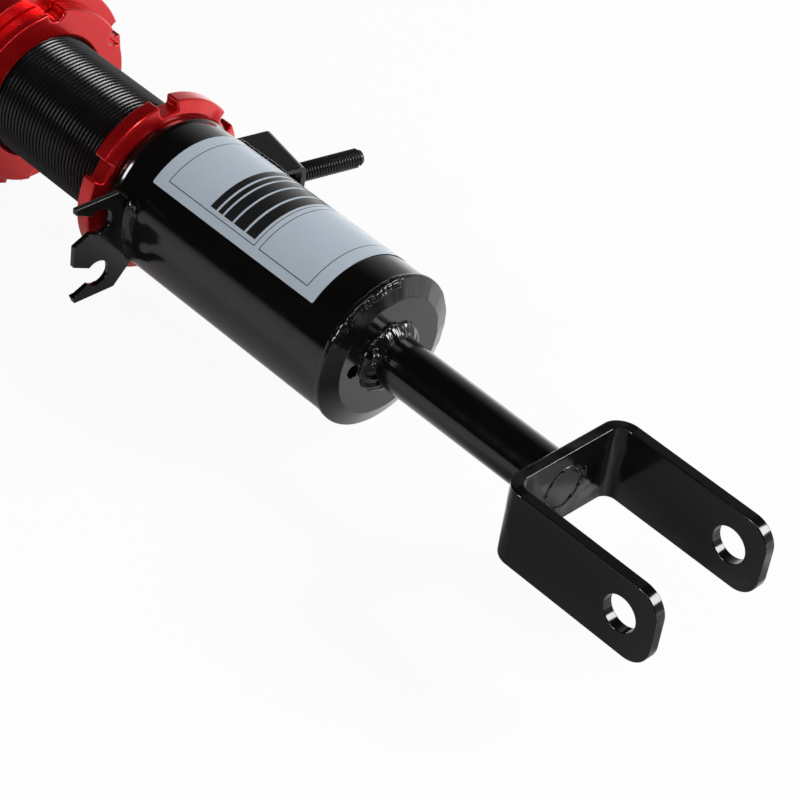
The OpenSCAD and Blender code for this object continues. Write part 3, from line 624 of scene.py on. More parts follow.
def cornerOutline(corner, leg, hollow, way, points=12, under=7):
    # from the stem's surface out to the face, with both ends a little under the surfaces
    outline = [(corner[0] - way * 0.4, corner[1] - 0.45)]
    for i in range(points + 1):
        turnAt = (-under + (90 + 2 * under) * i / points) * deg
        reach = leg * (1 - hollow * max(0, math.sin(2 * turnAt)))
        outline.append((corner[0] + way * reach * math.cos(turnAt), corner[1] + reach * math.sin(turnAt)))
    return outline


def fromCorner(corner, way, height, radius):
    # reach from the corner, and the place across the bead from 0 on the stem to 1 on the face
    along, out = way * (height - corner[0]), radius - corner[1]
    return along, out, math.atan2(out, along) / math.pi * 2


def makeCapBead():
    c = capBead
    bead = turn("stem_cap_bead", cornerOutline(c["corner"], c["leg"], c["hollow"], -1), 900)

    def shape(height, radius, angle):
        along, out, across = fromCorner(c["corner"], -1, height, radius)
        if along < 0 and out < 0:
            return height, radius
        fine = 0.016 * window(angle, 70, 118, 18) + 0.003
        lobes = 0.13 * window(angle, 188, 300, 14)
        grow = 1 + fine * scales(angle, c["ripple"], 9 * across * (1 - across))
        grow += lobes * math.sin((angle + 10 * across) / c["lobe"] * math.tau)
        grow += 0.16 * lumpy(angle, across * 1.2, 0.45, 1) + 0.08 * lumpy(angle, across * 1.5, 0.15, 2)
        grow += 0.08 * window(angle, 115, 155, 14) - 0.06 * window(angle, 168, 186, 8)
        return c["corner"][0] - along * grow, c["corner"][1] + out * grow

    reshape(bead, shape)
    chance = random.Random(11)
    drops = [(at(*place), size) for place, size in c["drops"]]
    for i in range(c["smallDrops"]):
        angle = c["dropsFrom"] + (c["dropsTo"] - c["dropsFrom"]) * i / (c["smallDrops"] - 1)
        drops.append((at(142.6, 14.2 + 0.7 * chance.uniform(-1, 1), angle), 1.0 + 0.5 * chance.random()))
    lumps = weldBead("stem_cap_drops", drops, 0.24, 12)
    dress(join([bead, lumps], "stem_cap_bead"), "lower_mount", "stem_cap_weld", 60)


def makeFootBead():
    c = footBead
    bead = turn("stem_foot_bead", cornerOutline(c["corner"], c["leg"], c["hollow"], 1), 480)

    def shape(height, radius, angle):
        along, out, across = fromCorner(c["corner"], 1, height, radius)
        if along < 0 and out < 0:
            return height, radius
        grow = 1 + 0.05 * scales(angle, c["ripple"], 8 * across * (1 - across))
        grow += 0.22 * lumpy(angle, across, 0.4, 3)
        return c["corner"][0] + along * grow, c["corner"][1] + out * grow

    reshape(bead, shape)
    dress(bead, "lower_mount", "stem_fork_weld", 60)


def makePlugBead():
    # a thin seam round the tenon's end, with a few spatters beside it
    c = plugBead
    height, radius = c["corner"]
    outline = [(height + 0.25, radius - c["half"] - 0.05)]
    for i in range(9):
        part = -1 + 2 * i / 8
        outline.append((height + 0.08 - (c["high"] + 0.08) * (1 - part * part), radius + c["half"] * part))
    outline.append((height + 0.25, radius + c["half"] + 0.05))
    bead = turn("plug_weld_bead", outline, 480)

    def shape(h, r, angle):
        rise = height - h
        if rise < 0.02:
            return h, r
        grow = 0.9 + 1.3 * lumpy(angle, 0, 0.25, 5) + 0.9 * lumpy(angle, r, 0.06, 6)
        return height - rise * max(0.1, grow), r + 0.6 * lumpy(angle, 0.5, 0.5, 7)

    reshape(bead, shape)
    chance = random.Random(3)
    drops = []
    for i in range(c["crumbs"]):
        angle = 8 + 17 * chance.uniform(-1, 1)
        drops.append((at(height, 10.2 + 1.1 * chance.uniform(-1, 1), angle), 0.45 + 0.35 * chance.random()))
    for i in range(c["specks"]):
        drops.append((at(height, 10.4 + 1.4 * chance.uniform(-1, 1), 215 + 30 * chance.uniform(-1, 1)), 0.32))
    lumps = weldBead("plug_spatter", drops, 0.16, 2)
    dress(join([bead, lumps], "plug_weld_bead"), "lower_mount", "plug_weld", 60)


makePlugBead()
makeFootBead()
makeCapBead()
print("fork and stem done")


# End cap: bevelled disc with a drain hole and a spigot inside the housing

endCap = {
    "low": 142.9, "rimLow": 145.9, "rimTop": 147.2, "top": 157.0, "face": 24.8, "rim": 31.5,
    "spigot": 27.89, "well": 21.89, "floor": 4.6, "seat": 9.22, "seatDeep": 3.0,
    "drain": 5.4, "drainOffset": 18.0, "drainAngle": 176.8,
}


def makeEndCap():
    c = endCap
    outline = [
        (c["low"], 0), (c["low"], c["face"]), (c["rimLow"], c["rim"]), (c["rimTop"], c["rim"]),
        (c["rimTop"], c["spigot"]), (c["top"], c["spigot"]), (c["top"], c["well"]),
        (c["low"] + c["floor"], c["well"]), (c["low"] + c["floor"], 0),
    ]
    cap = turn("end_cap_disc", outline, 192)
    cutWith(cap, bar(c["low"] - 1, c["seatDeep"] + 1, c["seat"]))
    middle = at(0, c["drainOffset"], c["drainAngle"]) / mm
    cutWith(cap, bar(c["low"] - 1, c["floor"] + 2, c["drain"] / 2, 48, (middle.y, middle.z)))
    facesOut(cap)
    soften(cap, 0.3, 3, 15)

    def shape(height, radius, angle):
        # the bevel was ground by hand
        if height > c["rimTop"] - 0.5 or radius < c["face"] - 2:
            return height, radius
        wave = 0.9 * lumpy(angle, height * 0.3, 0.28, 15) + 0.35 * lumpy(angle, height * 0.5, 0.10, 16)
        wave *= 1 - 0.75 * window(angle, 110, 300, 25)
        return height, radius - 0.2 + wave * window(radius, 25, 32, 1)

    reshape(cap, shape)
    dress(cap, "lower_mount", "end_cap", 13)


makeEndCap()


# Lower housing with its narrower neck

housing = {
    "foot": 147.2, "neckFoot": 264.4, "top": 269.6, "radius": 31.0, "neck": 30.0,
    "bore": 25.94, "relief": 27.94, "threadFrom": 229.6, "edge": 0.5,
    # the lip at the neck, as steps up from its foot and out from the tube
    "lip": [(-0.5, 0), (-0.1, 0.07), (0.4, 0.23), (1.1, 0.45), (1.4, 0.46), (1.8, 0.24), (2.1, -0.3)],
    "neckFrom": 2.5,
}


def makeHousing():
    c = housing
    outline = [(c["foot"], c["relief"]), (c["foot"], c["radius"])]
    outline += [(c["neckFoot"] + up, c["radius"] + out) for up, out in c["lip"]]
    outline += [
        (c["neckFoot"] + c["neckFrom"], c["neck"]), (c["top"] - c["edge"], c["neck"]),
        (c["top"], c["neck"] - c["edge"]), (c["top"], c["bore"] + c["edge"]),
        (c["top"] - c["edge"], c["bore"]), (c["threadFrom"], c["bore"]),
        (c["threadFrom"] - 2, c["relief"]),
    ]
    piece = turn("housing_tube", outline, 240)
    soften(piece, 0.2, 3, 40)
    dress(piece, "lower_mount", "lower_housing", 35)


rimBead = {
    "low": 145.95, "top": 149.1, "side": 31.2, "crest": 31.78, "skirt": (144.8, 28.95), "steps": 14,
    "rough": (84, 146),
}


def makeRimWeld():
    # one even machine-made run. Over the top it is rough, and spills on to the cap's bevel.
    c = rimBead
    slope = (endCap["rim"] - endCap["face"]) / (endCap["rimLow"] - endCap["low"])
    outline = [(c["top"], housing["radius"] - 0.3), (c["top"] - 0.5, housing["radius"] + 0.02)]
    middle = (c["low"] + c["top"] - 0.5) / 2
    for i in range(9):
        turnAt = math.pi * i / 8
        outline.append((
            middle + (c["top"] - 0.5 - c["low"]) / 2 * math.cos(turnAt),
            c["side"] + (c["crest"] - c["side"]) * math.sin(turnAt) + 0.12 * (1 - math.cos(turnAt)) / 2,
        ))
    for i in range(1, c["steps"] + 1):
        height = c["low"] + (c["skirt"][0] - c["low"]) * i / c["steps"]
        outline.append((height + 0.10, endCap["face"] + (height - endCap["low"]) * slope - 0.12))
    outline.append((c["skirt"][0] + 1.0, c["skirt"][1] - 0.6))
    outline.append((c["top"] - 1.0, housing["radius"] - 0.8))
    bead = turn("rim_bead", outline, 1080)

    def shape(height, radius, angle):
        if height > c["top"] - 0.45 or radius < 28.6 or (height > 145.2 and radius < 30.2):
            return height, radius
        rough = window(angle, *c["rough"], 9)
        across = (height - 144) * 0.5
        wave = lumpy(angle, across * 0.6, 0.14, 8) + 0.5 * lumpy(angle, across, 0.06, 9)
        grain = lumpy(angle + 3 * across, across * 0.4, 0.03, 10)
        if height < c["low"] - 0.02:
            # the skirt on the bevel comes out of it only where the bead is rough
            lift = rough * (0.22 + 0.75 * wave + 0.15 * grain) * min(1.0, (height - 144.5) / 0.9)
            return height - 0.9 * lift, radius + 0.4 * lift
        lift = 0.05 * wave + rough * (0.15 + 0.34 * wave + 0.10 * grain)
        return height + 0.25 * rough * wave, min(32.3, radius + lift)

    reshape(bead, shape)
    dress(bead, "lower_mount", "cap_housing_weld", 60)


makeHousing()
makeRimWeld()
print("housing and cap done")


# Label: a thin film with round corners, wrapped round the housing

def makeLabel():
    c = label
    reach = (c["to"] - c["from"]) * deg * c["radius"]
    deselectAll()
    bpy.ops.mesh.primitive_grid_add(x_subdivisions=24, y_subdivisions=76, size=1)
    film = named("label_sheet")
    middle, long = -(c["high"] + c["low"]) / 2, c["high"] - c["low"]
    film.scale = (long * mm, reach * mm, 1)
    film.location = (middle * mm, 0, 0)
    settle(film)
    for vertex in film.data.vertices:
        across, along = abs(vertex.co.x / mm - middle), abs(vertex.co.y / mm)
        vertex.select = across > long / 2 - 0.01 and along > reach / 2 - 0.01
    for part in (film.data.edges, film.data.polygons):
        for element in part:
            element.select = False
    bpy.ops.object.mode_set(mode="EDIT")
    bpy.ops.mesh.bevel(offset=c["corner"] * mm, segments=5, affect="VERTICES")
    bpy.ops.mesh.select_all(action="SELECT")
    bpy.ops.mesh.extrude_region_move(TRANSFORM_OT_translate={"value": (0, 0, c["sheet"] * mm)})
    leaveEdit()
    middleAngle = (c["to"] + c["from"]) / 2 * deg
    for vertex in film.data.vertices:
        angle = middleAngle + vertex.co.y / (c["radius"] * mm)
        radius = c["radius"] * mm + vertex.co.z
        vertex.co = (vertex.co.x, radius * math.cos(angle), radius * math.sin(angle))
    facesOut(film)
    dress(film, "lower_mount", "label", 40)


makeLabel()
print("label done")


# Hose bracket: a flat plate across the strut with two slots open at their mouths

hoseBracket = {
    "low": 257.0, "sheet": 2.3, "drop": 3.7, "reach": 54.5, "half": 22.1, "shoulder": 34.3,
    "root": 13.0, "rootAt": 26.0, "tip": (1.3, 3.4), "slotAt": 42.8, "slotOff": 12.1,
    "slotRadius": 5.5, "throat": 7.7, "mouth": 14.9, "edge": 0.3,
}


def makeHoseBracket():
    c = hoseBracket
    chord = math.sqrt(c["slotRadius"] ** 2 - (c["throat"] / 2) ** 2)

    def slot(offset):
        # from the mouth's upper corner, round the hole, to the mouth's lower corner
        start = math.atan2(c["throat"] / 2, -chord)
        bow = [
            (-c["slotAt"] + c["slotRadius"] * math.cos(a), offset + c["slotRadius"] * math.sin(a))
            for a in (start - (2 * start) * i / 28 for i in range(29))
        ]
        return [(-c["reach"], offset + c["mouth"] / 2)] + bow + [(-c["reach"], offset - c["mouth"] / 2)]

    outline = [(-c["rootAt"], c["root"]), (-c["shoulder"], c["half"]), (-c["reach"], c["half"])]
    outline += slot(c["slotOff"]) + slot(-c["slotOff"])
    outline += [
        (-c["reach"], -c["half"] + c["tip"][1]), (-c["reach"] + c["tip"][0], -c["half"]),
        (-c["shoulder"], -c["half"]), (-c["rootAt"], -c["root"]),
    ]
    places = [Vector((-c["low"], y, z - c["drop"])) * mm for y, z in outline]
    plate = sheetFrom("hose_plate", places, (-c["sheet"] * mm, 0, 0))
    cutWith(plate, bar(c["low"] - 3, c["sheet"] + 6, housing["radius"], 180))
    facesOut(plate)
    soften(plate, c["edge"], 3, 35)
    dress(plate, "lower_mount", "hose_bracket", 30)


hoseBead = {
    "corner": (257.0, 31.0), "down": 5.2, "out": 1.7, "hollow": 1.3, "from": 157.0, "sweep": 50.0,
    "drops": 20, "dropsAt": 158.8, "dropsSpread": 2.6,
}


def makeHoseWeld():
    c = hoseBead
    height, radius = c["corner"]
    outline = [(height + 0.4, radius - 0.5), (height + 0.4, radius + c["out"])]
    for i in range(11):
        part = i / 10
        out = (c["out"] + 0.06) * (1 - part) ** c["hollow"]
        outline.append((height - c["down"] * part, radius - 0.06 + out))
    outline.append((height - c["down"] - 0.3, radius - 0.5))
    bead = turn("hose_bead", outline, 200, c["from"], c["sweep"])

    def shape(h, r, angle):
        out = r - radius
        if out < 0.02 or h > height - 0.05:
            return h, r
        grow = 1 + 0.025 * scales(angle, 3.4, 0.9 * out) + 0.20 * lumpy(angle, h / 4, 0.16, 12)
        return h - 0.5 * lumpy(angle, 2.0, 0.2, 13), radius + out * grow

    reshape(bead, shape)
    chance = random.Random(31)
    drops = []
    for i in range(c["drops"]):
        angle = c["dropsAt"] + c["dropsSpread"] * chance.uniform(-1, 1)
        part = chance.uniform(0.1, 0.75)
        out = c["out"] * (1 - part) ** c["hollow"] + 0.3
        drops.append((at(height - 0.4 - c["down"] * part, radius + out, angle), 0.5 + 0.4 * chance.random()))
    lumps = weldBead("hose_drops", drops, 0.22, 2)
    dress(join([bead, lumps], "hose_bead"), "lower_mount", "hose_bracket_weld", 60)


makeHoseBracket()
makeHoseWeld()


# Stud bracket: a bent channel on the far side, with a welded stud

studBracket = {
    "height": 245.4, "stand": 40.9, "rise": 2.7, "yaw": -11.3, "length": 26.8, "width": 27.4,
    "sheet": 2.3, "bend": 0.8, "stud": 8.0, "pitch": 1.25, "studLength": 34.2, "neck": 0.4,
    "head": (13.0, 3.0), "edge": 0.3,
}


def toStud():
    # the bracket's X runs along its length, Y points out of the housing and Z is up
    c = studBracket
    return Matrix.Translation(Vector((-c["height"], c["stand"], c["rise"])) * mm) @ Matrix.Rotation(
        c["yaw"] * deg, 4, "Z"
    )


def makeStudBracket():
    c = studBracket
    half, long = c["width"] / 2, c["length"] / 2
    bends = lambda place, way: abs(way.x) > 0.9 and place.y > -9
    outside = block((-long, -c["stand"], -half), (long, 0, half), "stud_channel")
    roundEdges(outside, bends, c["bend"] + c["sheet"], 10)
    inner = half - c["sheet"]
    inside = block((-long - 3, -c["stand"] - 3, -inner), (long + 3, -c["sheet"], inner))
    roundEdges(inside, bends, c["bend"], 6)
    cutWith(outside, inside)
    cutWith(outside, rod("stud_hole", c["stud"] / 2 + c["neck"] + 0.02, 12, 64, "Y"))
    outside.data.transform(toStud())
    cutWith(outside, bar(150, 119.6, housing["radius"], 180))
    facesOut(outside)
    soften(outside, c["edge"], 3, 35)
    dress(outside, "lower_mount", "stud_bracket", 30)


def makeStudWelds():
    c = studBracket
    beads = []
    for k, side in enumerate((-1, 1)):
        chance = random.Random(41 + k)
        z = c["rise"] + side * c["width"] / 2
        y = math.sqrt(housing["radius"] ** 2 - z ** 2)
        for i in range(22):
            x = -c["height"] - c["length"] / 2 + 1.2 + (c["length"] - 2.4) * i / 21
            beads.append((
                Vector((x, y + 0.35, z + side * 0.45 + 0.15 * chance.uniform(-1, 1))) * mm,
                1.75 * (1 + 0.12 * chance.uniform(-1, 1)),
            ))
    piece = weldBead("stud_bracket_bead", beads, 0.34, 3)
    dress(piece, "lower_mount", "stud_bracket_welds", 60)


def boltShank(name, root, crest, pitch, length):
    # a threaded shank from x = 0 to its length, with a chamfered end
    core = turn(name, [(0, 0), (0, root), (-length + 1, root), (-length, root - 0.4), (-length, 0)], 64)
    ridge = threadRidge(name + "_ridge", 0.3, length - 1.3, crest, root, pitch, 48)
    return join([core, ridge], name)


def makeStud():
    c = studBracket
    radius = c["stud"] / 2
    head = turn("stud_head", [
        (c["sheet"] + c["head"][1], 0), (c["sheet"] + c["head"][1], c["head"][0] / 2),
        (c["sheet"], c["head"][0] / 2), (c["sheet"], radius + c["neck"]), (0, radius + c["neck"]),
        (-0.02, radius - 0.6), (-0.02, 0),
    ], 64)
    soften(head, 0.3, 2)
    shank = boltShank("stud_shank", radius - 0.72, radius - 0.02, c["pitch"], c["studLength"])
    stud = join([head, shank], "far_stud")
    stud.data.transform(toStud() @ Matrix.Rotation(math.pi / 2, 4, "Z"))
    dress(stud, "lower_mount", "bracket_stud", 30)


makeStudBracket()
makeStudWelds()
makeStud()
print("brackets done")


# Thread of the damper tube: a smooth core with one unbroken ridge

tube = {
    "foot": 178.0, "top": 425.0, "crest": 25.86, "root": 24.66, "pitch": 2.0, "bore": 22.0,
    "glandBore": 23.0, "guide": 403.0,
}


def makeTube():
    c = tube
    core = turn("tube_core", [
        (c["foot"], c["bore"]), (c["foot"], c["root"] - 0.5), (c["foot"] + 0.5, c["root"]),
        (c["top"] - 0.5, c["root"]), (c["top"], c["root"] - 0.5), (c["top"], c["glandBore"]),
        (c["guide"], c["glandBore"]), (c["guide"], c["bore"]),
    ], 144)
    length = c["top"] - c["foot"] - 1.0
    ridge = threadRidge("tube_ridge", -c["top"] + 0.5, length, c["crest"] - 0.01, c["root"], c["pitch"], 72)
    dress(join([core, ridge], "threaded_tube"), "damper", "damper_tube", 50)


makeTube()
print("tube done")


# Rings on the thread: flat notches below, round notches above

lockRing = {
    "foot": 269.65, "top": 277.8, "bore": 25.94, "seat": 31.9, "cone": 1.5, "radius": 37.3,
    "edge": 0.9, "notches": 6, "notchWide": 8.6, "notchFloor": 33.0, "notchFrom": 30.2,
}
collar = {
    "foot": 343.5, "top": 351.6, "bore": 25.94, "radius": 38.4, "bevel": 0.8, "flare": 1.4,
    "notches": 6, "notchWide": 8.0, "notchFloor": 34.2, "notchFrom": 25.0,
}
perch = {
    "foot": 351.65, "top": 361.95, "bore": 25.94, "radius": 44.35, "bevel": 0.9, "edge": 0.5,
    "spigot": 30.57, "spigotTop": 369.95, "notches": 6, "notchWide": 7.0, "notchFloor": 40.45,
    "notchFrom": 17.5,
}


def sleeve(low, high, inner, outer):
    # the outline of a plain ring
    return [(low, inner), (low, outer), (high, outer), (high, inner)]


def cutNotches(ring, c, rounded):
    # one cutter a notch, with a flat or a round floor
    half, far = c["notchWide"] / 2, c["radius"] + 6
    if rounded:
        floor = [
            (c["notchFloor"] + half - half * math.sin(a), half * math.cos(a))
            for a in (math.pi * i / 24 for i in range(25))
        ]
    else:
        floor = [(c["notchFloor"], half), (c["notchFloor"], -half)]
    outline = [(far, half)] + floor + [(far, -half)]
    low, high = c["foot"] - 2, c["top"] + 2
    places = [Vector((-high, y, z)) * mm for y, z in outline]
    for i in range(c["notches"]):
        tool = sheetFrom("notch_cutter", places, ((high - low) * mm, 0, 0))
        tool.data.transform(aboutStrut(c["notchFrom"] + i * 360 / c["notches"]))
        cutWith(ring, tool)
    return facesOut(ring)


def makeLockRing():
    c = lockRing
    ring = turn("lower_ring", [
        (c["foot"], c["bore"] + 0.4), (c["foot"], c["seat"]), (c["foot"] + c["cone"], c["radius"]),
        (c["top"], c["radius"]), (c["top"], c["bore"] + 0.4), (c["top"] - 0.4, c["bore"]),
        (c["foot"] + 0.4, c["bore"]),
    ], 120, c["notchFrom"])
    cutNotches(ring, c, False)
    soften(ring, c["edge"], 3, 20)
    dress(ring, "lock_ring", "lower_lock_ring", 15)


def makeCollar():
    c = collar
    ring = turn("upper_ring", [
        (c["foot"], c["bore"] + c["flare"]), (c["foot"], c["radius"]), (c["top"], c["radius"]),
        (c["top"], c["bore"]), (c["foot"] + c["flare"], c["bore"]),
    ], 120, c["notchFrom"] + 1.5)
    cutNotches(ring, c, True)
    soften(ring, c["bevel"], 4, 30)
    dress(ring, "perch_collar", "perch_lock_ring", 25)


def makePerch():
    c = perch
    ring = turn("perch_flange", sleeve(c["foot"], c["top"], c["bore"], c["radius"]), 120, c["notchFrom"])
    cutNotches(ring, c, True)
    soften(ring, c["bevel"], 4, 30)
    spigot = turn("perch_spigot", sleeve(c["top"] - 1, c["spigotTop"], c["bore"], c["spigot"]), 144)
    soften(spigot, c["edge"], 3)
    dress(join([ring, spigot], "perch_ring"), "perch", "spring_perch", 25)


makeLockRing()
makeCollar()
makePerch()
print("rings done")


# Spring between its two washers: one round wire with closed end turns ground flat

spring = {
    "foot": 364.05, "length": 170.0, "turns": 6, "mean": 38.5, "wire": 12.0, "start": 3.0,
    "endPitch": 12.6, "perTurn": 48, "sides": 32,
}
washers = {"inner": 30.97, "outer": 44.0, "thick": 2.0, "low": 362.0, "high": 534.1}


def springRise(turns):
    c = spring
    free = (c["length"] - 2 * (c["start"] + c["endPitch"])) / (c["turns"] - 2)
    if turns < 1:
        return c["start"] + c["endPitch"] * turns
    if turns > c["turns"] - 1:
        return c["length"] - c["start"] - c["endPitch"] * (c["turns"] - turns)
    return c["start"] + c["endPitch"] + free * (turns - 1)


def makeSpring():
    c = spring
    line = []
    for i in range(c["turns"] * c["perTurn"] + 1):
        turns = i / c["perTurn"]
        near = (springRise(min(c["turns"], max(0, turns + step))) for step in (-0.06, -0.03, 0, 0.03, 0.06))
        line.append(at(c["foot"] + sum(near) / 5, c["mean"], 90 - turns * 360))
    wire = draw("spring_wire", line, closed=False)
    pick(wire)
    bpy.ops.object.convert(target="CURVE")
    curve = bpy.context.object.data
    curve.bevel_depth = c["wire"] / 2 * mm
    curve.bevel_resolution = c["sides"] // 2 - 2
    curve.use_fill_caps = True
    bpy.ops.object.convert(target="MESH")
    wire = named("spring_wire")
    # both ends are ground flat
    for height, way in ((c["foot"], 1), (c["foot"] + c["length"], -1)):
        edit(wire)
        bpy.ops.mesh.bisect(
            plane_co=(-height * mm, 0, 0), plane_no=(way, 0, 0), use_fill=True, clear_outer=True,
            threshold=1e-6,
        )
        leaveEdit()
    facesOut(wire)
    dress(wire, None, "coil_spring", 35)
    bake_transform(wire)


def makeWasher(name, height, body, node):
    c = washers
    piece = turn(name, sleeve(height, height + c["thick"], c["inner"], c["outer"]), 144)
    soften(piece, 0.3, 2)
    dress(piece, body, node, slot="black_steel")


makeSpring()
makeWasher("lower_washer", washers["low"], "spring_base", "lower_spring_washer")
makeWasher("upper_washer", washers["high"], "rod", "upper_spring_washer")
print("spring done")


# Upper seat, bump stop and ribbed boot

upperSeat = {
    "low": 536.1, "top": 541.1, "radius": 46.0, "bore": 6.02, "roof": 534.1, "pocket": 27.0,
    "spigot": 30.57, "spigotFoot": 528.1, "edge": 0.8,
}
bumpStop = {
    "foot": 507.1, "top": 534.1, "radius": 19.0, "bore": 7.2,
    # how far up, and the share of the radius there
    "waist": [
        (0, 0.66), (0.04, 0.74), (0.2, 0.84), (0.32, 0.70), (0.5, 1.0), (0.7, 0.80), (0.85, 1.0), (1, 0.99),
    ],
}
boot = {
    "cuff": 413.0, "ribs": 436.0, "top": 531.05, "lip": 534.05, "count": 9, "crest": 26.0,
    "valley": 21.6, "wall": 1.3, "cuffInner": 26.31, "cuffOuter": 28.31, "lipRadius": 26.6,
    "tight": 0.2635,
}


def makeSeat():
    c = upperSeat
    piece = turn("seat_disc", [
        (c["roof"], c["bore"]), (c["roof"], c["pocket"]), (c["spigotFoot"], c["pocket"]),
        (c["spigotFoot"], c["spigot"]), (c["low"], c["spigot"]), (c["low"], c["radius"]),
        (c["top"], c["radius"]), (c["top"], c["bore"]),
    ], 180)
    soften(piece, c["edge"], 3, 30)
    dress(piece, "rod", "upper_spring_seat")


def makeBumpStop():
    c = bumpStop
    span = c["top"] - c["foot"]
    outline = [(c["foot"], c["bore"])]
    outline += [(c["foot"] + part * span, c["radius"] * share) for part, share in c["waist"]]
    piece = turn("bump_foam", outline + [(c["top"], c["bore"])], 96)
    soften(piece, 1.6, 4, 20)
    dress(piece, "rod", "bump_stop", 60)


def makeBoot():
    c = boot
    outside, inside = [], []
    points = 16
    middle, depth = (c["crest"] + c["valley"]) / 2, (c["crest"] - c["valley"]) / 2
    for i in range(c["count"] * points + 1):
        height = c["ribs"] + (c["top"] - c["ribs"]) * i / (c["count"] * points)
        wave = -math.cos(math.tau * i / points)
        wave = math.copysign(abs(wave) ** 0.75, wave)
        outside.append((height, middle + depth * wave))
        inside.append((height, middle + depth * wave - c["wall"]))
    outline = [(c["ribs"] + 0.02, c["valley"] - c["wall"])] + outside[:-1]
    outline += [
        (c["top"], c["valley"]), (c["top"], c["lipRadius"]), (c["lip"], c["lipRadius"]),
        (c["lip"], c["valley"] - c["wall"]),
    ]
    bellows = turn("boot_bellows", outline + inside[::-1][1:-1], 96)
    dress(bellows, "rod", "dust_boot", 50)
    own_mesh(bellows)
    cuff = turn("boot_cuff", [
        (c["cuff"], c["cuffInner"]), (c["cuff"], c["cuffOuter"]), (c["cuff"] + 3, c["cuffOuter"]),
        (c["cuff"] + 3.6, c["cuffOuter"] - 0.7), (c["ribs"] - 1.0, c["cuffOuter"] - 0.7),
        (c["ribs"], c["cuffOuter"] - 1.7), (c["ribs"], c["valley"] - c["wall"]),
        (c["ribs"] - 1.2, c["valley"] - c["wall"]), (c["ribs"] - 1.2, c["cuffInner"] - 0.6),
        (c["ribs"] - 1.8, c["cuffInner"]),
    ], 96)
    soften(cuff, 0.35, 2, 30)
    dress(cuff, "spring_base", "dust_boot", 50)


makeSeat()
makeBumpStop()
makeBoot()
print("seat and boot done")


# Pillow ball with its spacers and nut

spacers = {"radius": 9.0, "bore": 6.02, "low": (541.1, 556.1), "high": (569.1, 574.1)}
ball = {"middle": 562.6, "radius": 13.0, "width": 13.0, "bore": 6.02}
topNut = {"low": 574.1, "thick": 10.0, "across": 19.0, "flange": 11.4, "flangeThick": 2.0, "bore": 6.02}


def makeSpacers():
    for name, node, (low, top) in (
        ("low_spacer", "lower_spacer", spacers["low"]), ("high_spacer", "upper_spacer", spacers["high"]),
    ):
        piece = turn(name, sleeve(low, top, spacers["bore"], spacers["radius"]), 96)
        soften(piece, 0.5, 2)
        dress(piece, "rod", node)


def ballZone(middle, width, radius, steps=28):
    # the outline of a ball's band, from its low edge to its high edge
    reach = math.asin(width / 2 / radius)
    tilts = (-reach + 2 * reach * i / steps for i in range(steps + 1))
    return [(middle + radius * math.sin(tilt), radius * math.cos(tilt)) for tilt in tilts]


def makeBall():
    c = ball
    half = c["width"] / 2
    outline = [(c["middle"] - half, c["bore"])] + ballZone(c["middle"], c["width"], c["radius"])
    piece = turn("swivel_ball", outline + [(c["middle"] + half, c["bore"])], 96)
    dress(piece, "rod", "pillow_ball", 30)


def makeNut():
    c = topNut
    top = c["low"] + c["thick"]
    corner = c["across"] / 2 / math.cos(30 * deg)
    nut = rod("rod_nut", corner, c["thick"], 6, "X", (-(c["low"] + c["thick"] / 2), 0, 0))
    # the corners are turned off at the top
    crown = turn("cutter", [
        (c["low"] - 1, 0), (c["low"] - 1, 14), (top - 1.0, 12.0), (top, 9.2), (top, 0),
    ], 96)
    cutWith(nut, crown, "INTERSECT")
    rim = c["low"] + c["flangeThick"]
    flange = turn("nut_flange", [
        (c["low"], 0), (c["low"], c["flange"]), (rim, c["flange"]), (rim + 0.6, 9.4), (rim + 0.6, 0),
    ], 96)
    cutWith(nut, flange, "UNION")
    cutWith(nut, bar(c["low"] - 2, c["thick"] + 4, c["bore"], 64))
    facesOut(nut)
    soften(nut, 0.25, 2, 35)
    dress(nut, "rod", "top_nut", 30)


makeSpacers()
makeBall()
makeNut()
print("rod end done")


# Top plate with its cup, the race in it and three studs

topPlate = {
    "low": 561.77, "top": 569.77, "circle": 47.0, "lobe": 13.0, "first": 90, "cupFoot": 554.83,
    "cup": 25.02, "bore": 18.02, "opening": 13.6, "shoulder": 2.0, "hole": 5.3, "edge": 0.8,
    "clipAt": 556.03, "clip": 1.4, "clipGroove": 19.02,
}
topStud = {"radius": 5.0, "neck": 5.28, "pitch": 1.5, "length": 25.0, "head": (16.0, 3.0)}
race = {"middle": 562.6, "width": 10.3, "inner": 14.05, "outer": 18.0}


def makePlate():
    c = topPlate
    outline = []
    for k in range(3):
        middle = c["first"] + 120 * k
        for i in range(25):
            turnAt = (middle - 60 + 120 * i / 24) * deg
            y = c["circle"] * math.cos(middle * deg) + c["lobe"] * math.cos(turnAt)
            z = c["circle"] * math.sin(middle * deg) + c["lobe"] * math.sin(turnAt)
            outline.append(Vector((-c["low"], y, z)) * mm)
    plate = sheetFrom("mount_plate", outline, ((c["low"] - c["top"]) * mm, 0, 0))
    soften(plate, c["edge"], 3, 40)
    cup = turn("plate_cup", [
        (c["cupFoot"], 0), (c["cupFoot"], c["cup"]), (c["low"] + 1, c["cup"]), (c["low"] + 1, 0),
    ], 144)
    soften(cup, c["edge"], 3, 40)
    cutWith(plate, cup, "UNION")
    cutWith(plate, bar(c["cupFoot"] - 1, c["top"] - c["shoulder"] - c["cupFoot"] + 1, c["bore"], 144))
    cutWith(plate, bar(c["cupFoot"] - 1, 30, c["opening"], 144))
    cutWith(plate, bar(c["clipAt"], c["clip"], c["clipGroove"], 144))
    for k in range(3):
        place = at(0, c["circle"], c["first"] + 120 * k) / mm
        cutWith(plate, bar(c["low"] - 2, 14, c["hole"], 64, (place.y, place.z)))
    facesOut(plate)
    dress(plate, "top_mount", "top_plate", 30)


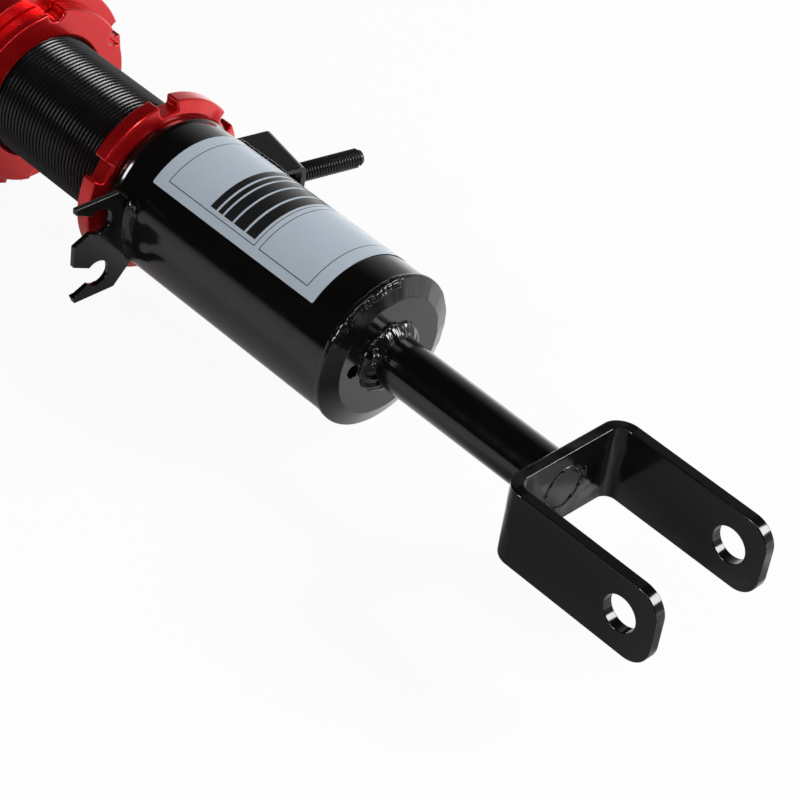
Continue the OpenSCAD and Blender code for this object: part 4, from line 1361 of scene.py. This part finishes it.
def makeRace():
    c = race
    half = c["width"] / 2
    outline = ballZone(c["middle"], c["width"], c["inner"])
    outline += [(c["middle"] + half, c["outer"]), (c["middle"] - half, c["outer"])]
    piece = turn("outer_race", outline, 120)
    soften(piece, 0.2, 2, 50)
    dress(piece, "top_mount", "ball_race", 30)


def makeTopStuds():
    c = topStud
    low, top = topPlate["low"], topPlate["top"]
    head = turn("top_stud_head", [
        (low - c["head"][1], 0), (low - c["head"][1], c["head"][0] / 2), (low, c["head"][0] / 2),
        (low, c["neck"]), (top, c["neck"]), (top, c["radius"] - 0.9), (top, 0),
    ], 64)
    soften(head, 0.3, 2)
    shank = boltShank("top_stud_shank", c["radius"] - 0.9, c["radius"] - 0.02, c["pitch"], c["length"])
    shank.data.transform(Matrix.Translation((-top * mm, 0, 0)) @ Matrix.Rotation(math.pi, 4, "Z"))
    first = join([head, shank], "top_stud")
    studs = []
    for k in range(3):
        place = at(0, topPlate["circle"], topPlate["first"] + 120 * k)
        studs.append(copyOf(first, "top_stud_copy", Matrix.Translation(place)))
    bpy.data.objects.remove(first, do_unlink=True)
    dress(join(studs, "three_studs"), "top_mount", "top_studs", 30)


makePlate()
makeRace()
makeTopStuds()
print("top mount done")


# Adjuster knob with finger flutes and a bevelled top

knob = {
    "low": 590.5, "top": 600.1, "radius": 6.5, "stem": 2.5, "stemFoot": 575.5, "flutes": 12, "flute": 1.1,
}


def makeKnob():
    c = knob
    piece = turn("knob_body", [
        (c["low"], 0), (c["low"], c["radius"]), (c["top"] - 0.9, c["radius"]), (c["top"], c["radius"] - 0.9),
        (c["top"], 2.6), (c["top"] - 0.5, 2.2), (c["top"] - 0.5, 0),
    ], 96, 1.0)
    for i in range(c["flutes"]):
        place = at(0, c["radius"] + 0.5, i * 360 / c["flutes"]) / mm
        cutWith(piece, bar(c["low"] - 1, c["top"] - c["low"] + 2, c["flute"], 24, (place.y, place.z)))
    facesOut(piece)
    soften(piece, 0.2, 2, 35)
    shaft = turn("knob_stem", [
        (c["stemFoot"], 0), (c["stemFoot"], c["stem"]), (c["low"] + 0.5, c["stem"]), (c["low"] + 0.5, 0),
    ], 48)
    dress(join([piece, shaft], "adjuster"), "knob", "adjuster_knob", 30)


makeKnob()
print("knob done")


# Floor, sky and lamps

stage = {
    "drop": 0.0005, "size": 12.0, "white": 0.9, "seen": 0.93, "ambient": 0.40,
    # What gloss sees of the floor: painted light and painted shadow. Each zone fades in between its two
    # places, in metres.
    "farPaintedLight": (0.4, (0.03, 0.22)),
    "stemPaintedLight": (0.36, (-0.09, -0.05), (-0.02, 0.01)),
    # painted shadow on the floor, seen by glossy rays alone
    "paintedShadowBand": (0.58, -0.06, (0.045, 0.075), (-0.14, -0.10)),
    "paintedShadowPatches": (0.6, 42, (0.42, 0.56), (-0.07, -0.05)),
}


def whenRay(tree, *kinds):
    # 1 for the named kinds of ray
    rays = addNode(tree, "LightPath")
    factor = rays.outputs[kinds[0]]
    for kind in kinds[1:]:
        factor = calc(tree, "MAXIMUM", factor, rays.outputs[kind])
    return factor


def makeFloor():
    low = cadBox[0][2] - stage["drop"]
    deselectAll()
    bpy.ops.mesh.primitive_plane_add(size=stage["size"], location=(-0.3, 0, low))
    floor = settle(named("floor"))
    material, tree, shader = newMaterial("paleFloor")
    shader.inputs["Roughness"].default_value = 0.85
    shader.inputs["Specular IOR Level"].default_value = 0.0
    x, y, _ = objectAxes(tree)
    glossy = whenRay(tree, "Is Glossy Ray")
    # painted light, seen by glossy rays alone: the floor glows brighter on the far side, where the room is
    # lit, and past the stem
    level, reach = stage["farPaintedLight"]
    paintedLight = spread(tree, y, 0.0, level, *reach)
    level, alongX, alongY = stage["stemPaintedLight"]
    paintedPastStem = spread(tree, x, level, 0.0, *alongX)
    paintedLight = calc(tree, "ADD", paintedLight, calc(tree, "MULTIPLY", paintedPastStem, spread(tree, y, 0.0, 1.0, *alongY)))
    # painted shadow, seen by glossy rays alone: darker close by on this side, and in patches near the fork
    level, middle, edge, alongX = stage["paintedShadowBand"]
    off = calc(tree, "ABSOLUTE", calc(tree, "SUBTRACT", y, middle))
    shadowBand = calc(tree, "MULTIPLY", spread(tree, off, level, 0.0, *edge), spread(tree, x, 0.0, 1.0, *alongX))
    level, scale, edge, alongX = stage["paintedShadowPatches"]
    shadowSpots = spread(tree, noise(tree, scale, 1), level, 0.0, *edge)
    shadowPatches = calc(tree, "MULTIPLY", shadowSpots, spread(tree, x, 0.0, 1.0, *alongX))
    paintedShadow = calc(tree, "MAXIMUM", shadowBand, shadowPatches)
    # glossy rays see the floor's colour darkened by the painted shadow
    near = mixLevels(tree, glossy, 1.0, calc(tree, "SUBTRACT", 1.0, paintedShadow))
    tree.links.new(calc(tree, "MULTIPLY", near, stage["white"]), shader.inputs["Base Color"])
    shader.inputs["Emission Color"].default_value = (1, 1, 1, 1)
    # the painted light glows from the floor to glossy rays alone
    tree.links.new(calc(tree, "MULTIPLY", paintedLight, glossy), shader.inputs["Emission Strength"])
    plain = addNode(tree, "Emission")
    plain.inputs["Color"].default_value = (1, 1, 1, 1)
    share = addNode(tree, "MixShader")
    seen = whenRay(tree, "Is Camera Ray", "Is Transmission Ray")
    tree.links.new(calc(tree, "MULTIPLY", seen, stage["seen"]), share.inputs[0])
    tree.links.new(shader.outputs[0], share.inputs[1])
    tree.links.new(plain.outputs[0], share.inputs[2])
    output = [node for node in tree.nodes if node.bl_idname == "ShaderNodeOutputMaterial"][0]
    tree.links.new(share.outputs[0], output.inputs[0])
    floor.data.materials.append(material)


def makeSky():
    world = bpy.data.worlds.new("studio")
    bpy.context.scene.world = world
    world.use_nodes = True
    tree = world.node_tree
    tree.nodes.clear()
    output = tree.nodes.new("ShaderNodeOutputWorld")
    way = addNode(tree, "SeparateXYZ")
    tree.links.new(addNode(tree, "TexCoord").outputs["Generated"], way.inputs[0])
    # gloss sees a dark room with one light wall on the far side, brightest near the floor
    side = calc(tree, "MULTIPLY_ADD", way.outputs[1], 0.8, calc(tree, "MULTIPLY", way.outputs[0], -0.2))
    fade = spread(tree, way.outputs[2], 1.0, 0.0, 0.0, 0.75)
    wall = calc(tree, "MULTIPLY", spread(tree, side, 0.0, 0.95, 0.1, 0.6), fade)
    level = mixLevels(tree, whenRay(tree, "Is Glossy Ray"), stage["ambient"], wall)
    level = mixLevels(tree, whenRay(tree, "Is Camera Ray", "Is Transmission Ray"), level, 1.0)
    sky = addNode(tree, "Background")
    sky.inputs["Color"].default_value = (1, 1, 1, 1)
    tree.links.new(level, sky.inputs["Strength"])
    tree.links.new(sky.outputs[0], output.inputs[0])


def softBox(name, place, target, size, power, onlyGloss=False):
    # a lamp may be seen by gloss alone, as a thin strip box is
    deselectAll()
    bpy.ops.object.light_add(type="AREA", location=place)
    lamp = bpy.context.object
    lamp.name = name
    lamp.data.shape = "RECTANGLE"
    lamp.data.size, lamp.data.size_y = size
    lamp.data.energy = power
    lamp.visible_diffuse = not onlyGloss
    lamp.rotation_euler = (Vector(target) - Vector(place)).to_track_quat("-Z", "Y").to_euler()


makeFloor()
makeSky()
# place, what it is turned to, size and watts
softBox("key", (0.62, 0.74, 0.70), (-0.02, 0, 0), (0.445, 0.445), 11)
softBox("fill", (-0.17, -0.98, 0.62), (-0.2, 0, 0), (0.25, 0.25), 2.4)
softBox("sideStrip", (-0.347, -0.98, 0.64), (-0.265, 0, 0), (0.16, 0.45), 5.5, onlyGloss=True)
softBox("overheadStrip", (0.26, -0.25, 0.95), (-0.27, 0, 0), (0.9, 0.10), 2.5, onlyGloss=True)
print("stage done")
